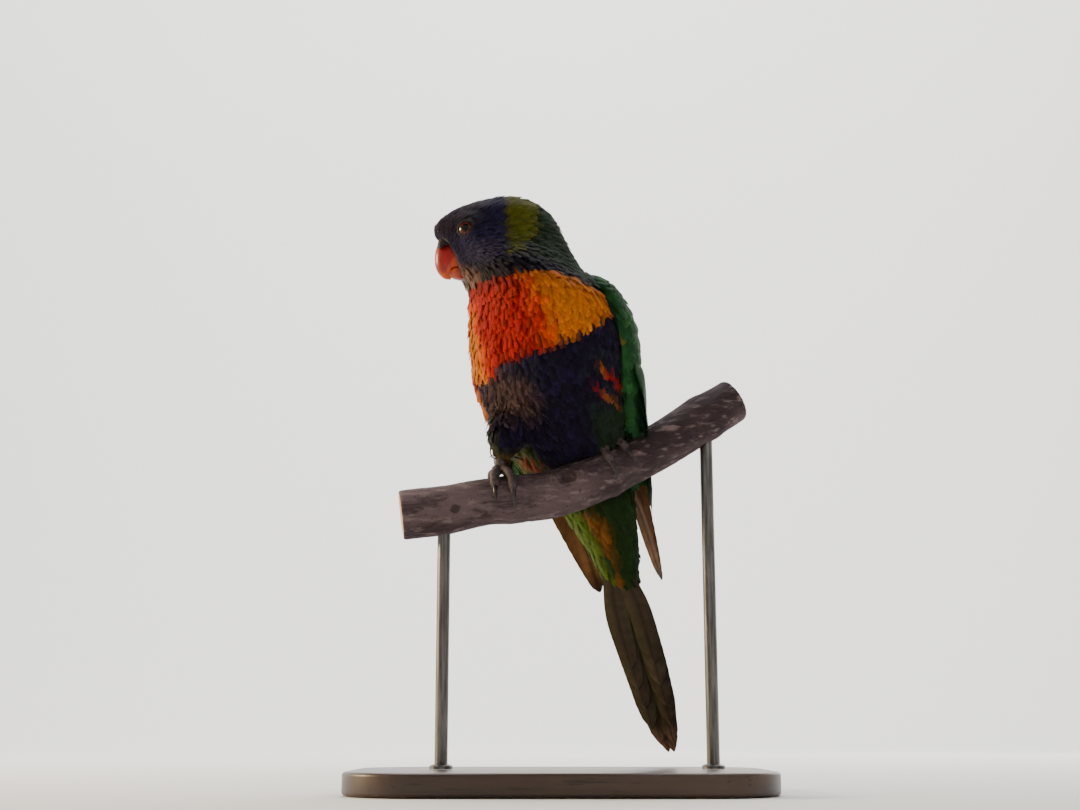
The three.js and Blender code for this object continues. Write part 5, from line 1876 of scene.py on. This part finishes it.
def stained_wood():
    c = colours()
    material, tree, shader = new_material("stained_wood", 0.42, 0.45)
    long_grain = grain(tree, 60, 6, (0.08, 1.0, 1.0))
    pores = grain(tree, 900, 3, (0.06, 1.0, 1.0))
    wood = blended(tree, ramp(tree, long_grain, 0.3, 0.7), c.base_dark, c.base_light)
    wood = blended(tree, ramp(tree, pores, 0.6, 0.72), wood, c.base_dark)
    tree.links.new(wood, shader.inputs["Base Color"])
    lacquer(shader, 0.25, 0.3)
    bump(tree, shader, pores, 0.2, 0.0002)
    return material


def rod_metal():
    c = colours()
    material, tree, shader = new_material("rod_metal", 0.34, 0.5)
    shader.inputs["Metallic"].default_value = 1.0
    brushed = grain(tree, 900, 3, (1.0, 1.0, 0.05))
    steel = blended(tree, ramp(tree, brushed, 0.3, 0.7), c.rod_dark, c.rod)
    tree.links.new(steel, shader.inputs["Base Color"])
    bump(tree, shader, brushed, 0.15, 0.0001)
    return material


def solid_box(name):
    """Lowest and highest corner of a solid, in millimetres from the branch's axis"""
    return (np.array(corner) / MM - [0, 0, PERCH_Z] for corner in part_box(name))


def build_stand():
    """Base slab and rods of the display stand, in the sizes of their solids"""
    slab = rounded_slab(*solid_box("stand_base"), BASE_CORNER, BASE_EDGE)
    base = piece("stand_base_slab", *tube(slab), "stand_base", ("stand_base",), 40)
    base.data.materials.append(stained_wood())
    metal = rod_metal()
    steps = 12
    for name in ("stand_rod_1", "stand_rod_2"):
        low, high = solid_box(name)
        middle = (low + high) / 2
        radius = (high[0] - low[0]) / 2
        top = PERCH_LINE.at(perch_place(middle[0]))[2] - PERCH_RADIUS * 0.7
        levels = [low[2] + rise for rise, _ in ROD_FOOT] + list(np.linspace(low[2] + 6, top, steps))
        widths = [radius * share for _, share in ROD_FOOT] + [radius] * steps
        angle = whole_turn(56)
        rings = []
        for z, width in zip(levels, widths):
            x, y = middle[0] + width * np.cos(angle), middle[1] + width * np.sin(angle)
            rings.append(np.stack([x, y, np.full_like(x, z)], -1))
        rod = piece(f"{name}_metal", *tube(np.array(rings)), "stand_rod", (name,), 40)
        rod.data.materials.append(metal)


# Stage

def add_lamp(name, place, target, size, colour, power):
    data = bpy.data.lights.new(name, "AREA")
    data.shape = "DISK"
    data.size = size
    data.energy = power
    data.color = colour
    made = new_object(name, data)
    made.location = place
    made.rotation_euler = (Vector(target) - Vector(place)).to_track_quat("-Z", "Y").to_euler()


def add_floor():
    """Pale round floor that sweeps up about the model"""
    around = 72
    turns = np.linspace(0, math.pi / 2, 20)
    inner = FLOOR_REACH - FLOOR_BEND
    profile = [(inner + FLOOR_BEND * math.sin(a), FLOOR_BEND - FLOOR_BEND * math.cos(a)) for a in turns]
    profile.append((FLOOR_REACH, FLOOR_HEIGHT))
    circle = whole_turn(around)
    points = [(r * math.cos(a), r * math.sin(a), z - FLOOR_DROP) for r, z in profile for a in circle]
    faces = [tuple(range(around))]
    for ring in range(len(profile) - 1):
        first = ring * around
        for i in range(around):
            j = (i + 1) % around
            faces.append((first + i, first + around + i, first + around + j, first + j))
    mesh = bpy.data.meshes.new("floor_sweep")
    mesh.from_pydata(points, [], faces)
    mesh.polygons.foreach_set("use_smooth", np.ones(len(faces), bool))
    floor = new_object("floor_sweep", mesh)
    material, _, shader = new_material("paper_floor", 0.9, 0.2)
    shader.inputs["Base Color"].default_value = (0.78, 0.78, 0.77, 1)
    mesh.materials.append(material)


def add_even_light(strength):
    world = bpy.data.worlds.new("studio")
    world.use_nodes = True
    background = world.node_tree.nodes["Background"]
    background.inputs["Color"].default_value = (0.93, 0.96, 1.0, 1)
    background.inputs["Strength"].default_value = strength
    bpy.context.scene.world = world


def add_camera(framing, shift_down):
    """Camera at the photograph's angle, with the model as large as it is there"""
    data = bpy.data.cameras.new("photo_view")
    camera = new_object("photo_view", data)
    aim = np.array([CAMERA_ASIDE, 0, PERCH_Z + CAMERA_ABOVE]) * MM
    away = np.array([0, math.cos(CAMERA_SLOPE), math.sin(CAMERA_SLOPE)]) * CAMERA_DISTANCE
    camera.location = aim - away
    camera.rotation_euler = (math.pi / 2 + CAMERA_SLOPE, 0, 0)
    data.sensor_width = SENSOR
    data.lens = SENSOR * CAMERA_DISTANCE / (METRES_A_PIXEL * framing * PHOTO_WIDTH)
    data.shift_y = -shift_down
    data.clip_start = 0.01
    bpy.context.scene.camera = camera


def build_stage():
    sizes = settings()
    add_floor()
    add_even_light(sizes.ambient)
    for name, (place, target, size, colour) in LAMPS.items():
        add_lamp(name, place, target, size, colour, getattr(sizes, f"{name}_power"))
    add_camera(sizes.framing, sizes.shift_down)


# Settings, operators and panel

def swatch(name, description, *display):
    """Colour setting whose default is given in display values from 0 to 255"""
    return FloatVectorProperty(
        name=name, description=description, default=tone(*display), subtype="COLOR", min=0, max=1,
    )


def lamp_power(name, description, watts):
    return FloatProperty(
        name=name, description=description, default=watts, min=0, subtype="POWER", unit="POWER",
    )


class LorikeetColours(bpy.types.PropertyGroup):
    head_violet: swatch("Head violet", "Feathers of the cheek and crown", 23, 15, 46)
    head_streak: swatch("Head streak", "Pale shafts on the cheek", 48, 48, 84)
    brow: swatch("Brow", "Forehead and brow", 24, 14, 28)
    hood: swatch("Hood", "Dark feathers between collar and breast", 16, 10, 20)
    # Painted highlight: colour of the lit chin and throat
    throat: swatch("Throat", "Light feathers of chin and throat", 112, 84, 70)
    collar: swatch("Collar", "Yellow-green band behind the cheek", 78, 80, 10)
    nape_green: swatch("Nape", "Dark green of the nape", 20, 38, 18)
    breast_red: swatch("Breast red", "Middle of the breast", 142, 12, 0)
    breast_orange: swatch("Breast orange", "Between middle and sides of the breast", 202, 66, 0)
    breast_yellow: swatch("Breast yellow", "Sides of the breast", 192, 105, 3)
    # Also the colour of the painted shade along the breast's borders
    breast_dark: swatch("Breast bars", "Dark bars of the breast", 84, 12, 4)
    belly: swatch("Belly", "Violet-blue of the belly", 15, 9, 30)
    belly_light: swatch("Belly light", "Lighter feathers of the belly", 30, 21, 60)
    ruffle: swatch("Ruffled feathers", "Feathers over the right thigh", 66, 48, 44)
    flank_green: swatch("Flank green", "Lower flanks and thighs", 22, 44, 12)
    undertail: swatch("Under tail", "Yellow-green under the tail", 64, 84, 10)
    undertail_orange: swatch("Under tail, middle", "Orange-green under the tail", 108, 62, 8)
    wing_green: swatch("Wing green", "Wings and back", 24, 64, 34)
    wing_light: swatch("Wing edges", "Lighter edges of its feathers", 46, 102, 46)
    wing_shaft: swatch("Wing shafts", "Shafts of the coverts", 18, 54, 28)
    primary_dark: swatch("Primary", "Inner vanes of the long wing feathers", 58, 45, 35)
    primary_tip: swatch("Primary tip", "Tips of the long wing feathers", 76, 54, 42)
    primary_under: swatch("Primary underside", "Underside of the long wing feathers", 160, 110, 68)
    shaft: swatch("Shaft", "Shafts of the long feathers", 40, 28, 20)
    tail_green: swatch("Tail green", "Upper side of the tail", 40, 92, 30)
    tail_under: swatch("Tail underside", "Underside of the tail", 60, 52, 44)
    tail_edge: swatch("Tail edge", "Yellow inner edges under the tail", 86, 76, 44)
    tail_tip: swatch("Tail tip", "Tips of the tail feathers", 104, 80, 70)
    bill: swatch("Bill", "Red of the bill", 140, 10, 2)
    bill_tip: swatch("Bill tip", "Yellow of its tip and cutting edge", 208, 92, 14)
    cere: swatch("Cere", "Bare skin over the bill", 46, 38, 46)
    lid: swatch("Lids", "Bare ring round the eye", 26, 20, 28)
    iris: swatch("Iris", "Outer part of the iris", 58, 10, 5)
    iris_inner: swatch("Inner iris", "Iris beside the pupil", 86, 23, 8)
    foot: swatch("Foot", "Scales of the toes", 84, 74, 76)
    claw: swatch("Claw", "Claws", 38, 33, 34)
    bark: swatch("Bark", "Smooth bark", 100, 84, 88)
    # Also the colour of the painted shade in the bark's hollows
    bark_dark: swatch("Bark cracks", "Cracks and specks of the bark", 50, 39, 42)
    bark_light: swatch("Bark highlights", "Worn bark", 118, 102, 102)
    wood_pale: swatch("Cut wood", "Cut ends of the branch", 206, 178, 136)
    wood_dark: swatch("Growth rings", "Rings in the cut ends", 168, 132, 92)
    base_dark: swatch("Base grain", "Dark grain of the base", 30, 20, 15)
    base_light: swatch("Base", "Stained wood of the base", 66, 44, 32)
    rod: swatch("Rod", "Metal of the rods", 120, 118, 116)
    rod_dark: swatch("Rod shade", "Darker brushing of the rods", 84, 82, 82)


class LorikeetSizes(bpy.types.PropertyGroup):
    skin_cell: FloatProperty(
        name="Skin cell", description="Cell of the skin's mesh", default=1.1 * MM, min=0.5 * MM, max=4 * MM,
        unit="LENGTH", precision=5,
    )
    primaries: IntProperty(
        name="Primaries", description="Long feathers in each wing", default=10, min=4, max=12,
    )
    framing: FloatProperty(
        name="Framing", description="How much wider the view is than the photograph's",
        default=1.04, min=0.8, max=2, subtype="FACTOR",
    )
    shift_down: FloatProperty(
        name="Shift", description="Downward shift of the view",
        default=0.014, min=0, max=0.1, subtype="FACTOR",
    )
    ambient: FloatProperty(
        name="Ambient light", description="Strength of the even light", default=0.16, min=0,
    )
    key_power: lamp_power("Key light", "Low warm light from the left", 33)
    fill_power: lamp_power("Fill light", "Broad light from the front", 2.5)
    top_power: lamp_power("Top light", "Broad light from above", 4.5)
    rear_power: lamp_power("Rear light", "Light from behind on the right", 4.5)
    backdrop_power: lamp_power("Backdrop light", "Light on the sweep behind", 175)


class Step:
    """What all steps have in common"""

    bl_options = {"REGISTER", "UNDO"}


class LORIKEET_OT_skin(Step, bpy.types.Operator):
    """Closed skin of the body and thighs that lies under the plumage"""

    bl_idname = "lorikeet.skin"
    bl_label = "Skin"

    def execute(self, context):
        build_skin()
        return {"FINISHED"}


class LORIKEET_OT_plumage(Step, bpy.types.Operator):
    """Feathers of head, breast, belly and back"""

    bl_idname = "lorikeet.plumage"
    bl_label = "Plumage"

    def execute(self, context):
        build_plumage()
        return {"FINISHED"}


class LORIKEET_OT_wings(Step, bpy.types.Operator):
    """Flight feathers and coverts of both folded wings"""

    bl_idname = "lorikeet.wings"
    bl_label = "Wings"

    def execute(self, context):
        build_wings()
        return {"FINISHED"}


class LORIKEET_OT_tail(Step, bpy.types.Operator):
    """Twelve graduated tail feathers"""

    bl_idname = "lorikeet.tail"
    bl_label = "Tail"

    def execute(self, context):
        build_tail()
        return {"FINISHED"}


class LORIKEET_OT_bill(Step, bpy.types.Operator):
    """Horn of the bill and the bare skin over it"""

    bl_idname = "lorikeet.bill"
    bl_label = "Bill and cere"

    def execute(self, context):
        build_bill()
        return {"FINISHED"}


class LORIKEET_OT_eyes(Step, bpy.types.Operator):
    """Eyeballs and lids"""

    bl_idname = "lorikeet.eyes"
    bl_label = "Eyes"

    def execute(self, context):
        build_eyes()
        return {"FINISHED"}


class LORIKEET_OT_feet(Step, bpy.types.Operator):
    """Scaly toes and claws round the branch"""

    bl_idname = "lorikeet.feet"
    bl_label = "Feet"

    def execute(self, context):
        build_feet()
        return {"FINISHED"}


class LORIKEET_OT_perch(Step, bpy.types.Operator):
    """Bark and cut ends of the branch"""

    bl_idname = "lorikeet.perch"
    bl_label = "Branch"

    def execute(self, context):
        build_perch()
        return {"FINISHED"}


class LORIKEET_OT_stand(Step, bpy.types.Operator):
    """Base and rods that hold the branch"""

    bl_idname = "lorikeet.stand"
    bl_label = "Display stand"

    def execute(self, context):
        build_stand()
        return {"FINISHED"}


class LORIKEET_OT_stage(Step, bpy.types.Operator):
    """Floor, lights and camera"""

    bl_idname = "lorikeet.stage"
    bl_label = "Studio"

    def execute(self, context):
        build_stage()
        return {"FINISHED"}


STEPS = (
    LORIKEET_OT_skin, LORIKEET_OT_plumage, LORIKEET_OT_wings, LORIKEET_OT_tail, LORIKEET_OT_bill,
    LORIKEET_OT_eyes, LORIKEET_OT_feet, LORIKEET_OT_perch, LORIKEET_OT_stand, LORIKEET_OT_stage,
)


class LORIKEET_PT_steps(bpy.types.Panel):
    """Steps of the model and their sizes and colours"""

    bl_idname = "LORIKEET_PT_steps"
    bl_label = "Lorikeet"
    bl_space_type = "VIEW_3D"
    bl_region_type = "UI"
    bl_category = "Lorikeet"

    def draw(self, context):
        for step in STEPS:
            self.layout.operator(step.bl_idname)
        for group in (context.scene.lorikeet_sizes, context.scene.lorikeet_colours):
            for key in type(group).__annotations__:
                self.layout.prop(group, key)


CLASSES = (LorikeetColours, LorikeetSizes, *STEPS, LORIKEET_PT_steps)


def register():
    for kind in CLASSES:
        bpy.utils.register_class(kind)
    bpy.types.Scene.lorikeet_colours = PointerProperty(type=LorikeetColours)
    bpy.types.Scene.lorikeet_sizes = PointerProperty(type=LorikeetSizes)


def unregister():
    del bpy.types.Scene.lorikeet_sizes
    del bpy.types.Scene.lorikeet_colours
    for kind in reversed(CLASSES):
        bpy.utils.unregister_class(kind)


def main():
    register()
    for step in STEPS:
        getattr(bpy.ops.lorikeet, step.bl_idname.split(".")[1])()
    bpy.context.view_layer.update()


if __name__ == "__main__":
    main()
